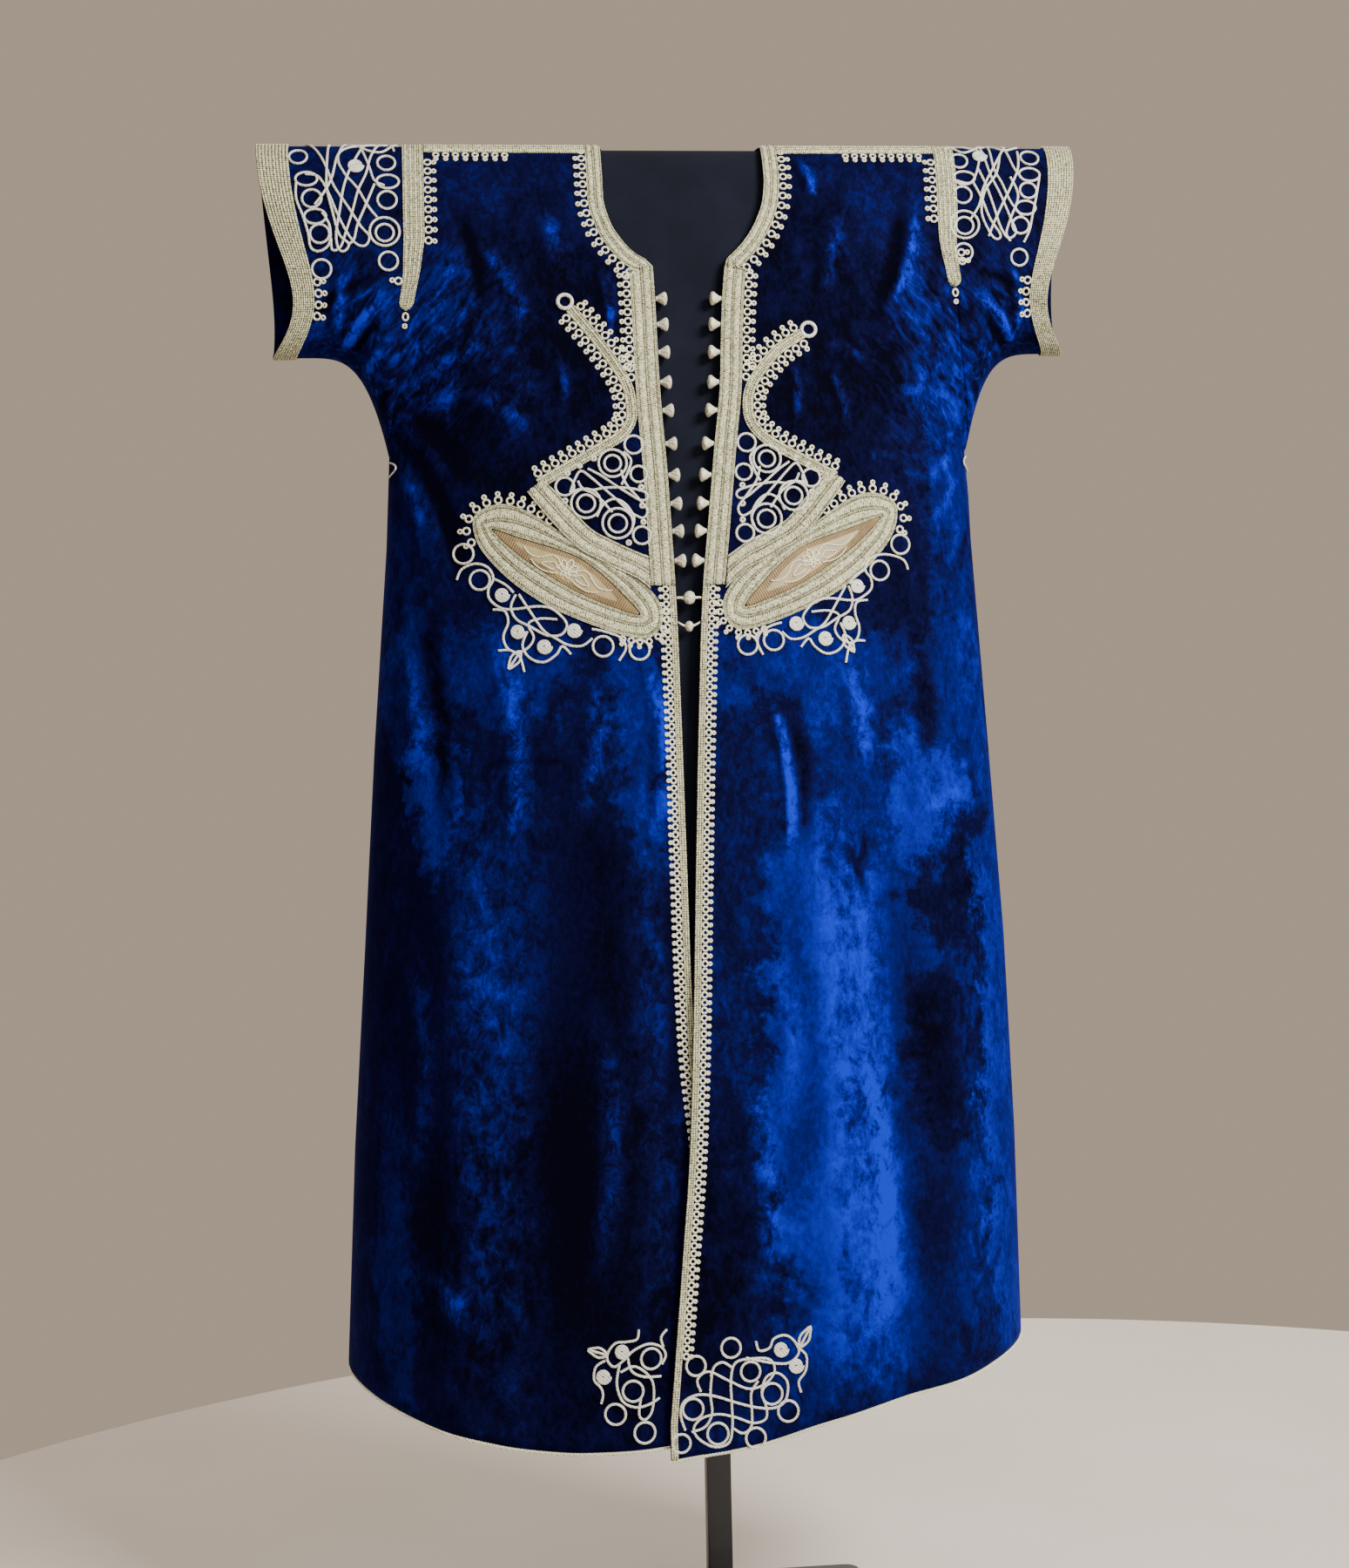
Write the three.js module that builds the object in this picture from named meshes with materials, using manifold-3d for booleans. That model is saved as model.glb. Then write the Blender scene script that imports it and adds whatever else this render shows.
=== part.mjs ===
// An open-fronted velvet kaftan with braid trimming, held up on a padded display stand.
// Millimetres, +Z up, the front faces -Y. Left and right are as seen from the front.
// x runs across the cloth from the stand's axis, and s is the drop below the shoulder line.
import * as THREE from "three";
import Module from "manifold-3d";

const wasm = await Module();
wasm.setup();

// ---- driving dimensions
const SHOULDER_HEIGHT = 1520; // shoulder line above the floor
const CLOTH = 2; // velvet and its facing
const SEAM_GAP = 0.3;
const LIFT = 0.6; // clearance under a trim that lies on the cloth
const FRONT = -1;
const BACK = 1;
const LEFT = -1;
const RIGHT = 1;

const FOLD_RADIUS = 12.5; // roundness of the shoulder fold
const FLARE = 0.02; // extra depth for each mm of drop
const BACK_DEPTH = 0.8; // the back hangs this much shallower than the front
const BODY_SQUARENESS = 2.4; // exponent of the body's rounded section
const UNDERARM_DROP = 308;
const BODY_LENGTH = 1240; // nominal drop of the hem

const SLEEVE_CENTRE = -5; // the sleeves are even about this x
const UNDERARM_X = 293.5;
const CUFF_TOP_X = { [LEFT]: 417, [RIGHT]: 406 };
const CUFF_BOTTOM_X = { [LEFT]: 406, [RIGHT]: 396 };
const CUFF_DROP = 209;
const UNDERARM_CURVE = { reach: 84, rise: 99, power: 4 };
const SLEEVE_DEPTH = { armhole: 50, cuff: 45 };
const CUFF_BOW = { front: 26, back: 3, power: 2.3 }; // the cuff's edge curves in on its way down

const NECK_HALF = 81;
const BACK_NECK_DROP = 22;

// Half width of the body panel, and the middle of its section, at each drop.
const BODY_WIDTH = [
  { s: 0, half: 268, middle: 0 },
  { s: 100, half: 271, middle: -2 },
  { s: 200, half: 279, middle: -4 },
  { s: 308, half: 293.5, middle: -5 },
  { s: 400, half: 297.5, middle: -6 },
  { s: 600, half: 312.5, middle: -8 },
  { s: 800, half: 326, middle: -9 },
  { s: 1000, half: 337, middle: -13 },
  { s: 1235, half: 345, middle: -18 },
];
// The front edges: neckline down to its corner, then the closing edge down to the hem.
const FRONT_EDGE = {
  [LEFT]: [
    { s: 0, x: -81 },
    { s: 58, x: -81 },
    { s: 84, x: -75 },
    { s: 103, x: -64 },
    { s: 116, x: -52 },
    { s: 123, x: -41 },
    { s: 130, x: -35 },
    { s: 247, x: -33 },
    { s: 351, x: -28 },
    { s: 504, x: -24 },
    { s: 721, x: -23 },
    { s: 886, x: -20 },
    { s: 1000, x: -10 },
    { s: 1240, x: 8 },
  ],
  [RIGHT]: [
    { s: 0, x: 81 },
    { s: 34, x: 81 },
    { s: 60, x: 78 },
    { s: 84, x: 69 },
    { s: 103, x: 57 },
    { s: 115, x: 46 },
    { s: 123, x: 38 },
    { s: 130, x: 36 },
    { s: 186, x: 30 },
    { s: 248, x: 26 },
    { s: 310, x: 18 },
    { s: 385, x: 9 },
    { s: 463, x: 0 },
    { s: 571, x: -7 },
    { s: 721, x: -15 },
    { s: 886, x: -23 },
    { s: 992, x: -30 },
    { s: 1090, x: -40 },
    { s: 1240, x: -56 },
  ],
};
// Below this drop the left front goes behind the right one, this far back.
const OVERLAP = { from: 690, to: 870, setback: 9 };
// Drop of the hem at each share of the way from the middle to the side seam.
const HEM = {
  [LEFT]: [
    { share: 0, s: 1258 },
    { share: 0.5, s: 1266 },
    { share: 0.83, s: 1240 },
    { share: 1, s: 1215 },
  ],
  [RIGHT]: [
    { share: 0, s: 1272 },
    { share: 0.25, s: 1262 },
    { share: 0.42, s: 1240 },
    { share: 0.7, s: 1228 },
    { share: 1, s: 1206 },
  ],
};
const BACK_HEM_MIDDLE = 1232;
// Broad folds: soft ridges (height > 0) and troughs from (x1, s1) to (x2, s2).
const FOLDS = [
  { face: FRONT, x1: 95, s1: 560, x2: 118, s2: 1290, width: 34, height: 7 },
  { face: FRONT, x1: 165, s1: 600, x2: 186, s2: 1290, width: 30, height: -6 },
  { face: FRONT, x1: 232, s1: 660, x2: 250, s2: 1290, width: 32, height: 5 },
  { face: FRONT, x1: -78, s1: 560, x2: -84, s2: 1290, width: 34, height: 5 },
  { face: FRONT, x1: -165, s1: 620, x2: -176, s2: 1290, width: 38, height: -6 },
  { face: FRONT, x1: -245, s1: 520, x2: -262, s2: 1290, width: 30, height: 6 },
  { face: FRONT, x1: 232, s1: 80, x2: 196, s2: 320, width: 34, height: 4 },
  { face: FRONT, x1: -236, s1: 120, x2: -180, s2: 330, width: 34, height: 4 },
  { face: BACK, x1: -205, s1: 420, x2: -228, s2: 1290, width: 36, height: 7 },
  { face: BACK, x1: -112, s1: 300, x2: -122, s2: 1290, width: 34, height: -7 },
  { face: BACK, x1: -20, s1: 480, x2: -28, s2: 1290, width: 36, height: 8 },
  { face: BACK, x1: 82, s1: 340, x2: 92, s2: 1290, width: 34, height: -7 },
  { face: BACK, x1: 190, s1: 440, x2: 210, s2: 1290, width: 36, height: 7 },
  { face: BACK, x1: 232, s1: 90, x2: 190, s2: 320, width: 26, height: 4 },
  { face: BACK, x1: -236, s1: 90, x2: -196, s2: 320, width: 26, height: 4 },
];

// Rows of the cloth's grid by drop: close together over the shoulder fold.
const UPPER_ROWS = [0, 1, 4, 10, 20, 36, 58, 84, 103, 116, 130, 160, 195, 230, 265, 292, UNDERARM_DROP];
const LOWER_ROW_COUNT = 12;
const FRONT_COLUMNS = 12;
const BACK_COLUMNS = { neck: 6, side: 6 };
const CUFF_BAND_FROM = 0.735; // share of the sleeve's length where its band starts
const SLEEVE_COLUMNS = [0, 0.075, 0.2, 0.36, 0.54, CUFF_BAND_FROM, 0.87, 1];

// ---- trims
const BRAID = 2.4; // thickness of the couched braid
const NECK_BAND = 16;
const NECK_BAND_ROWS = [0, 1, 4, 10, 20, 36, 58, 71, 84, 94, 103, 110, 116, 123];
const NECK_MITRE = 5; // how far the outer corner of the neck band drops below the inner one
const PLACKET_BAND = { [LEFT]: 24, [RIGHT]: 22 };
const PLACKET_END = 446;
const BORDER_BAND = 9;
const SHOULDER_BAND_ROWS = [10, 4, 1, 0];
const ARMHOLE_BAND = { half: 10.5, ease: 4.5, taperFrom: 150, point: 186 };

// The waist ornament is even about this x; a runs outwards from it.
const ORNAMENT_X = -9;
const ORNAMENT_RAISE = { [LEFT]: 0, [RIGHT]: 7 };
// Outlines in the leaf's own axes: u outwards along it, v up across it.
const LEAF = { a: 120, s: 434, tilt: 28 };
const LEAF_OUTLINE = [
  { u: 105, v: 8 },
  { u: 99, v: 24 },
  { u: 84, v: 35 },
  { u: 60, v: 38 },
  { u: 19, v: 34 },
  { u: -20, v: 32 },
  { u: -50, v: 29 },
  { u: -78, v: 23 },
  { u: -95, v: 13 },
  { u: -102, v: 0 },
  { u: -101, v: -14 },
  { u: -92, v: -23 },
  { u: -66, v: -30 },
  { u: -21, v: -35 },
  { u: 15, v: -35 },
  { u: 53, v: -28 },
  { u: 88, v: -13 },
];
const EYE_OUTLINE = [
  { u: 85, v: 7 },
  { u: 62, v: 11 },
  { u: 43, v: 14 },
  { u: 20, v: 18 },
  { u: -4, v: 20 },
  { u: -28, v: 16 },
  { u: -54, v: 8 },
  { u: -80, v: -3 },
  { u: -58, v: -8 },
  { u: -20, v: -11 },
  { u: 15, v: -9 },
  { u: 50, v: -4 },
];
const LEAF_SIDES = 30;
const INSERT_SIDES = 20;
// The strap that runs from the placket out over the leaf.
const STRAP_END = { top: 416, bottom: 442 }; // where it meets the placket band
const STRAP = [
  { a: 58, top: 411, bottom: 430 },
  { a: 75, top: 404, bottom: 420 },
  { a: 94, top: 392, bottom: 408 },
  { a: 112, top: 379, bottom: 396 },
  { a: 130, top: 363, bottom: 380 },
  { a: 143, top: 350, bottom: 366 },
  { a: 152, top: 346, bottom: 355 },
];
const BRANCH_WIDTH = 11;
const BRANCH = {
  [LEFT]: [
    { x: -115, s: 177 },
    { x: -95, s: 201 },
    { x: -76, s: 229 },
    { x: -65, s: 250 },
    { x: -62, s: 269 },
    { x: -63, s: 285 },
    { x: -73, s: 299 },
    { x: -90, s: 309 },
    { x: -111, s: 321 },
    { x: -140, s: 337 },
  ],
  [RIGHT]: [
    { x: 105, s: 201 },
    { x: 86, s: 214 },
    { x: 68, s: 234 },
    { x: 56, s: 253 },
    { x: 53, s: 270 },
    { x: 55, s: 285 },
    { x: 64, s: 298 },
    { x: 78, s: 309 },
    { x: 98, s: 320 },
    { x: 124, s: 334 },
  ],
};
const BRANCH_RING = { [LEFT]: { x: -123, s: 165 }, [RIGHT]: { x: 117, s: 194 }, outer: 9, inner: 5, sides: 12 };
const SATIN = 1.2;
const HEM_CORD = 3.4;

const KNOT_SIDES = 8;
const KNOT_PROFILE = [
  { along: 0, radius: 2.2 },
  { along: 1.5, radius: 2.4 },
  { along: 3.2, radius: 4.9 },
  { along: 6.4, radius: 5.8 },
  { along: 9.6, radius: 4.9 },
  { along: 11.6, radius: 1.8 },
];
// Drop of each pair of knots on the two front edges.
const KNOT_DROPS = [162, 188, 216, 246, 274, 307, 338, 366, 393, 422];
// Knots that fasten the fronts together reach from edge to edge.
const CLOSING_KNOT_DROPS = [458, 482];
const BELT_LOOP = { from: 313, to: 340, cord: 1.3, stand: 8, clearance: 0.6 };

// ---- stand
// The form stands this far inside the cloth's own depth, front and back.
const FORM_EASE = { share: 0.91, gap: 4 };
const FORM = [
  { s: 3, half: 247, swell: 1 },
  { s: 4.2, half: 250, swell: 1 },
  { s: 7, half: 252, swell: 1 },
  { s: 16, half: 253, swell: 1 },
  { s: 36, half: 254, swell: 1 },
  { s: 70, half: 254, swell: 1 },
  { s: 130, half: 255, swell: 1 },
  { s: 210, half: 257, swell: 1 },
  { s: 308, half: 264, swell: 1 },
  { s: 420, half: 272, swell: 1 },
  { s: 560, half: 284, swell: 1 },
  { s: 700, half: 296, swell: 1 },
  { s: 752, half: 296, swell: 0.97 },
  { s: 768, half: 284, swell: 0.86 },
];
const FORM_SIDES = 28;
const FORM_SQUARENESS = 2.6;
const ARM = { radius: 8.8, reach: 372, sides: 12 };
const POST = { size: 25, x: 12 };
const BASE = { width: 360, depth: 280, height: 10, corner: 14 };

// ---- small helpers
const clamp = (v, low, high) => Math.min(high, Math.max(low, v));
const mix = (a, b, t) => a + (b - a) * t;
const smooth = (t) => t * t * (3 - 2 * t);

// Reads column `out` of a table at `value` of column `key`.
function lookUp(table, key, out, value) {
  if (value <= table[0][key]) return table[0][out];
  for (let i = 1; i < table.length; i++) {
    const [a, b] = [table[i - 1], table[i]];
    if (value <= b[key]) return mix(a[out], b[out], (value - a[key]) / (b[key] - a[key]));
  }
  return table[table.length - 1][out];
}

const bodyHalf = (s) => lookUp(BODY_WIDTH, "s", "half", s);
const bodyMiddle = (s) => lookUp(BODY_WIDTH, "s", "middle", s);
const frontEdge = (side, s) => lookUp(FRONT_EDGE[side], "s", "x", s);
const hemDrop = (side, share) => lookUp(HEM[side], "share", "s", share);

// ---- the cloth's shape
const hangingDepth = (s) => Math.sqrt(2 * FOLD_RADIUS * Math.max(s, 0)) + FLARE * s;

// Drop of the sleeve's lower edge at distance r from the sleeves' middle.
function underarmDrop(r) {
  const t = clamp((r - UNDERARM_X) / UNDERARM_CURVE.reach, 0, 1);
  return CUFF_DROP + UNDERARM_CURVE.rise * (1 - t) ** UNDERARM_CURVE.power;
}

function sleeveDepth(x, s) {
  const r = Math.abs(x - SLEEVE_CENTRE);
  const along = clamp((r - UNDERARM_X) / (CUFF_TOP_X[RIGHT] - UNDERARM_X), 0, 1);
  const share = clamp(s / underarmDrop(r), 0, 1);
  return 2 * mix(SLEEVE_DEPTH.armhole, SLEEVE_DEPTH.cuff, along) * Math.sqrt(share * (1 - share));
}

function foldHeight(face, x, s) {
  let height = 0;
  for (const f of FOLDS) {
    if (f.face !== face) continue;
    const [dx, ds] = [f.x2 - f.x1, f.s2 - f.s1];
    const t = ((x - f.x1) * dx + (s - f.s1) * ds) / (dx * dx + ds * ds);
    const away = Math.hypot(x - f.x1 - dx * t, s - f.s1 - ds * t);
    const fadeIn = smooth(clamp(t * 3, 0, 1));
    const fadeOut = f.s2 > BODY_LENGTH ? 1 : smooth(clamp((1 - t) * 3, 0, 1));
    height += f.height * fadeIn * fadeOut * Math.exp(-((away / f.width) ** 2));
  }
  return height;
}

function bodyDepth(face, x, s) {
  const share = clamp(Math.abs(x - bodyMiddle(s)) / bodyHalf(s), 0, 1);
  const seamX = bodyMiddle(s) + Math.sign(x - bodyMiddle(s)) * bodyHalf(s);
  const atSeam = s < UNDERARM_DROP ? sleeveDepth(seamX, s) : 0;
  const toSide = smooth(clamp((s - 150) / (UNDERARM_DROP - 150), 0, 1));
  const power = mix(1, 1 / BODY_SQUARENESS, toSide);
  const round = (1 - share ** BODY_SQUARENESS) ** power;
  return mix(atSeam, hangingDepth(s), round) + foldHeight(face, x, s) * (1 - share ** 6);
}

// A point on the outer surface of the cloth. `behind` is for the front that goes underneath.
function cloth(face, x, s, behind = false) {
  const inBody = Math.abs(x - bodyMiddle(s)) <= bodyHalf(s);
  const depth = inBody ? bodyDepth(face, x, s) : sleeveDepth(x, s);
  const y = face * depth * (face === BACK ? BACK_DEPTH : 1);
  return new THREE.Vector3(x, behind ? y + setback(x, s) : y, SHOULDER_HEIGHT - s);
}

// How far back the left front steps to pass behind the right one.
function setback(x, s) {
  const down = smooth(clamp((s - OVERLAP.from) / (OVERLAP.to - OVERLAP.from), 0, 1));
  return OVERLAP.setback * down * smooth(clamp((x + 150) / 130, 0, 1));
}

// ---- solids
const rowsOf = (count, make) => Array.from({ length: count }, (_, i) => make(i));

// Unit normals of a grid of points. Where `level` holds they lie square to y.
function normalsOf(grid, turn, wrap = false, level = () => false) {
  const [rows, columns] = [grid.length, grid[0].length];
  return grid.map((row, i) =>
    row.map((_, j) => {
      const left = wrap ? row[(j + columns - 1) % columns] : row[Math.max(j - 1, 0)];
      const right = wrap ? row[(j + 1) % columns] : row[Math.min(j + 1, columns - 1)];
      const above = grid[Math.max(i - 1, 0)][j];
      const below = grid[Math.min(i + 1, rows - 1)][j];
      const normal = right.clone().sub(left).cross(below.clone().sub(above)).multiplyScalar(turn);
      if (level(i, j)) normal.y = 0;
      return normal.normalize();
    }),
  );
}

const moved = (grid, normals, distance) =>
  grid.map((row, i) => row.map((p, j) => p.clone().addScaledVector(normals[i][j], distance)));

// A closed solid between two grids of points. With wrap, the columns close on themselves.
function wallGeometry(top, bottom, wrap = false) {
  const [rows, columns] = [top.length, top[0].length];
  const positions = [...top.flat(), ...bottom.flat()].flatMap((p) => [p.x, p.y, p.z]);
  const index = [];
  const at = (layer, i, j) => (layer * rows + i) * columns + (j % columns);
  const quad = (a, b, c, d) => index.push(a, b, c, a, c, d);
  const cells = wrap ? columns : columns - 1;
  for (let i = 0; i < rows - 1; i++)
    for (let j = 0; j < cells; j++) {
      quad(at(0, i, j), at(0, i, j + 1), at(0, i + 1, j + 1), at(0, i + 1, j));
      quad(at(1, i, j), at(1, i + 1, j), at(1, i + 1, j + 1), at(1, i, j + 1));
    }
  const end = rows - 1;
  for (let j = 0; j < cells; j++) {
    quad(at(0, 0, j), at(1, 0, j), at(1, 0, j + 1), at(0, 0, j + 1));
    quad(at(0, end, j), at(0, end, j + 1), at(1, end, j + 1), at(1, end, j));
  }
  for (let i = 0; i < end && !wrap; i++) {
    quad(at(0, i, 0), at(0, i + 1, 0), at(1, i + 1, 0), at(1, i, 0));
    quad(at(0, i, cells), at(1, i, cells), at(1, i + 1, cells), at(0, i + 1, cells));
  }
  return facingOut(positions, index);
}

// Turns every triangle over if the solid is inside out.
function facingOut(positions, index) {
  let volume = 0;
  const corner = (i) => new THREE.Vector3().fromArray(positions, 3 * i);
  for (let i = 0; i < index.length; i += 3)
    volume += corner(index[i]).dot(corner(index[i + 1]).cross(corner(index[i + 2])));
  if (volume < 0) index.reverse();
  const geometry = new THREE.BufferGeometry();
  geometry.setAttribute("position", new THREE.Float32BufferAttribute(positions, 3));
  geometry.setIndex(index);
  return geometry;
}

// A solid through closed rings of points, with ends fanned from their middles.
function loftGeometry(rings) {
  const sides = rings[0].length;
  const points = rings.flat();
  const index = [];
  const next = (j) => (j + 1) % sides;
  for (let i = 0; i < rings.length - 1; i++)
    for (let j = 0; j < sides; j++) {
      const [a, b] = [i * sides + j, i * sides + next(j)];
      index.push(a, b, b + sides, a, b + sides, a + sides);
    }
  for (const end of [0, rings.length - 1]) {
    const middle = new THREE.Vector3();
    for (const p of rings[end]) middle.addScaledVector(p, 1 / sides);
    const hub = points.push(middle) - 1;
    for (let j = 0; j < sides; j++) {
      const [a, b] = [end * sides + j, end * sides + next(j)];
      index.push(...(end === 0 ? [hub, b, a] : [hub, a, b]));
    }
  }
  return facingOut(points.flatMap((p) => [p.x, p.y, p.z]), index);
}

// A round cord through a run of points.
function cordGeometry(points, radius, sides) {
  const rings = points.map((point, i) => {
    const [before, after] = [points[Math.max(i - 1, 0)], points[Math.min(i + 1, points.length - 1)]];
    const along = after.clone().sub(before).normalize();
    const across = new THREE.Vector3(0, 1, 0).cross(along).normalize();
    const up = along.clone().cross(across);
    return rowsOf(sides, (k) => {
      const angle = (2 * Math.PI * k) / sides;
      const ring = across.clone().multiplyScalar(Math.cos(angle));
      return ring.addScaledVector(up, Math.sin(angle)).multiplyScalar(radius).add(point);
    });
  });
  return loftGeometry(rings);
}

const FINISHES = {
  velvet: { color: 0x0a1f8f, roughness: 0.75, metalness: 0 },
  braid: { color: 0xcfcca8, roughness: 0.45, metalness: 0.55 },
  cord: { color: 0xd6d2c4, roughness: 0.5, metalness: 0.3 },
  satin: { color: 0xb59a6c, roughness: 0.5, metalness: 0 },
  form: { color: 0x20242f, roughness: 0.9, metalness: 0 },
  steel: { color: 0x111114, roughness: 0.5, metalness: 0.6 },
};
const materials = Object.fromEntries(
  Object.entries(FINISHES).map(([name, finish]) => [name, new THREE.MeshStandardMaterial(finish)]),
);
const kaftan = new THREE.Group();

function add(name, geometry, finish) {
  geometry.computeVertexNormals();
  const mesh = new THREE.Mesh(geometry, materials[finish]);
  mesh.name = name;
  kaftan.add(mesh);
}

const named = (name, side) => `${name}_${side === LEFT ? "left" : "right"}`;

// ---- velvet panels
const panelRows = [
  ...UPPER_ROWS,
  ...rowsOf(LOWER_ROW_COUNT, (i) => mix(UNDERARM_DROP, BODY_LENGTH, (i + 1) / LOWER_ROW_COUNT)),
];

// The drop of a grid row where the hem hangs lower or higher than its nominal drop.
function rowDrop(nominal, hem) {
  if (nominal <= UNDERARM_DROP) return nominal;
  return mix(UNDERARM_DROP, hem, (nominal - UNDERARM_DROP) / (BODY_LENGTH - UNDERARM_DROP));
}

// x of a body panel's side edge, which keeps half a seam's gap from the armhole.
const seamX = (side, s) => bodyMiddle(s) + side * (bodyHalf(s) - (s < UNDERARM_DROP ? SEAM_GAP / 2 : 0));

// Each surface that trims can lie on: its face, a grid of {x, s}, its points and normals.
const surfaces = [];

// A panel from a grid of {x, s}. At its seams it stops half a gap from the middle plane.
function panel(name, face, cut, onSeam, behind = false) {
  const points = cut.map((row, i) =>
    row.map(({ x, s }, j) => {
      const point = cloth(face, x, s, behind);
      if (onSeam(i, j)) point.y = (face * SEAM_GAP) / 2;
      return point;
    }),
  );
  const leftToRight = cut[0][0].x < cut[0][cut[0].length - 1].x ? 1 : -1;
  const normals = normalsOf(points, face * leftToRight, false, onSeam);
  surfaces.push({ name, face, cut, points, normals });
  add(name, wallGeometry(points, moved(points, normals, -CLOTH)), "velvet");
}

function frontPanel(side) {
  const cut = panelRows.map((nominal) =>
    rowsOf(FRONT_COLUMNS + 1, (j) => {
      const out = Math.sin((Math.PI / 2) * (j / FRONT_COLUMNS));
      const s = rowDrop(nominal, hemDrop(side, out));
      return { x: mix(frontEdge(side, s), seamX(side, s), out), s };
    }),
  );
  const onSeam = (i, j) => i === 0 || (j === FRONT_COLUMNS && panelRows[i] >= UNDERARM_DROP);
  panel(named("front", side), FRONT, cut, onSeam, side === LEFT);
}

function backPanel() {
  const neck = BACK_COLUMNS.neck / 2;
  const middle = neck + BACK_COLUMNS.side;
  const cut = panelRows.map((nominal) =>
    rowsOf(2 * middle + 1, (j) => {
      const side = j < middle ? LEFT : RIGHT;
      const k = Math.abs(j - middle);
      const out = Math.sin((Math.PI / 2) * clamp((k - neck) / BACK_COLUMNS.side, 0, 1));
      const across = Math.min(1, k / neck);
      const hem = mix(BACK_HEM_MIDDLE, hemDrop(side, 1), out ** 2);
      const dip = BACK_NECK_DROP * (1 - across ** 2);
      const s = dip + rowDrop(nominal, hem) * (1 - dip / hem);
      const neckX = side * NECK_HALF * across + bodyMiddle(s) * (1 - out);
      return { x: mix(neckX, seamX(side, s), out), s };
    }),
  );
  const onSeam = (i, j) =>
    (i === 0 && Math.abs(j - middle) >= neck) ||
    (Math.abs(j - middle) === middle && panelRows[i] >= UNDERARM_DROP);
  panel("back", BACK, cut, onSeam);
}

// x of the cuff's edge at a share of the way down it.
function cuffEdge(side, face, share) {
  const depth = face === FRONT ? CUFF_BOW.front : CUFF_BOW.back;
  const bow = depth * Math.sin(Math.PI * share ** CUFF_BOW.power);
  return SLEEVE_CENTRE + side * (mix(CUFF_TOP_X[side], CUFF_BOTTOM_X[side], share) - bow);
}

// The cut of one face of a sleeve, row by row from the armhole to the cuff.
function sleeveCut(side, face, alongs) {
  return alongs.map((along) =>
    UPPER_ROWS.map((nominal) => {
      const share = nominal / UNDERARM_DROP;
      const seam = bodyMiddle(nominal) + side * (bodyHalf(nominal) + SEAM_GAP / 2);
      const x = mix(seam, cuffEdge(side, face, share), along);
      return { x, s: share * underarmDrop(mix(UNDERARM_X, CUFF_BOTTOM_X[side], along)) };
    }),
  );
}

// Points round a sleeve: down its front and up its back.
function sleeveRings(side, alongs) {
  const front = sleeveCut(side, FRONT, alongs).map((row) => row.map(({ x, s }) => cloth(FRONT, x, s)));
  const back = sleeveCut(side, BACK, alongs).map((row) => row.map(({ x, s }) => cloth(BACK, x, s)));
  return front.map((row, i) => [...row, ...back[i].slice(1, -1).reverse()]);
}

function sleeve(side) {
  const rings = sleeveRings(side, SLEEVE_COLUMNS);
  const normals = normalsOf(rings, side, true);
  const last = UPPER_ROWS.length - 1;
  const halves = [
    { face: FRONT, pick: (row) => row.slice(0, last + 1) },
    { face: BACK, pick: (row) => [row[0], ...row.slice(last).reverse()] },
  ];
  for (const { face, pick } of halves) {
    const cut = sleeveCut(side, face, SLEEVE_COLUMNS);
    surfaces.push({ name: named("sleeve", side), face, cut, points: rings.map(pick), normals: normals.map(pick) });
  }
  add(named("sleeve", side), wallGeometry(rings, moved(rings, normals, -CLOTH), true), "velvet");
}

// ---- finding a place on the panels
// Shares of triangle abc at p, all positive inside it.
function sharesOf(a, b, c, p) {
  const area = (q, r, t) => (r.x - q.x) * (t.s - q.s) - (r.s - q.s) * (t.x - q.x);
  const whole = area(a, b, c);
  return [area(p, b, c) / whole, area(a, p, c) / whole, area(a, b, p) / whole];
}

// The point of the panels over {x, s}, moved out by `lift`.
function onCloth({ x, s, face = FRONT, on = null }, lift) {
  let best = { inside: -Infinity };
  for (const surface of surfaces) {
    if (surface.face !== face || (on && surface.name !== on)) continue;
    const { cut } = surface;
    for (let i = 0; i < cut.length - 1; i++)
      for (let j = 0; j < cut[0].length - 1; j++)
        for (const [k, l] of [[i, j + 1], [i + 1, j]]) {
          const shares = sharesOf(cut[i][j], cut[k][l], cut[i + 1][j + 1], { x, s });
          const inside = Math.min(...shares);
          if (inside > best.inside) best = { inside, shares, surface, corners: [[i, j], [k, l], [i + 1, j + 1]] };
        }
  }
  const point = new THREE.Vector3();
  const normal = new THREE.Vector3();
  best.corners.forEach(([i, j], n) => {
    point.addScaledVector(best.surface.points[i][j], best.shares[n]);
    normal.addScaledVector(best.surface.normals[i][j], best.shares[n]);
  });
  return point.addScaledVector(normal.normalize(), lift);
}

// A strip of braid or satin over rows of {x, s, face} places on the cloth.
function strip(name, rows, finish = "braid", thickness = BRAID, wrap = false) {
  const raised = (height) => rows.map((row) => row.map((place) => onCloth(place, height + (place.raise ?? 0))));
  add(name, wallGeometry(raised(LIFT + thickness), raised(LIFT), wrap), finish);
}

// Places from one edge of a strip to the other.
const acrossStrip = (inner, outer, columns, rest = {}) =>
  rowsOf(columns + 1, (j) => ({
    x: mix(inner.x, outer.x, j / columns),
    s: mix(inner.s, outer.s, j / columns),
    ...rest,
  }));

// ---- neck, fronts and shoulders
// A place on the neck band's outer edge beside the neckline at drop s.
function besideNeckline(side, s) {
  const ahead = frontEdge(side, s + 6);
  const behind = frontEdge(side, Math.max(s - 6, 0));
  const [dx, ds] = [ahead - behind, s < 6 ? s + 6 : 12];
  const length = Math.hypot(dx, ds);
  return { x: frontEdge(side, s) + (side * NECK_BAND * ds) / length, s: s - (side * NECK_BAND * dx) / length };
}

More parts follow.
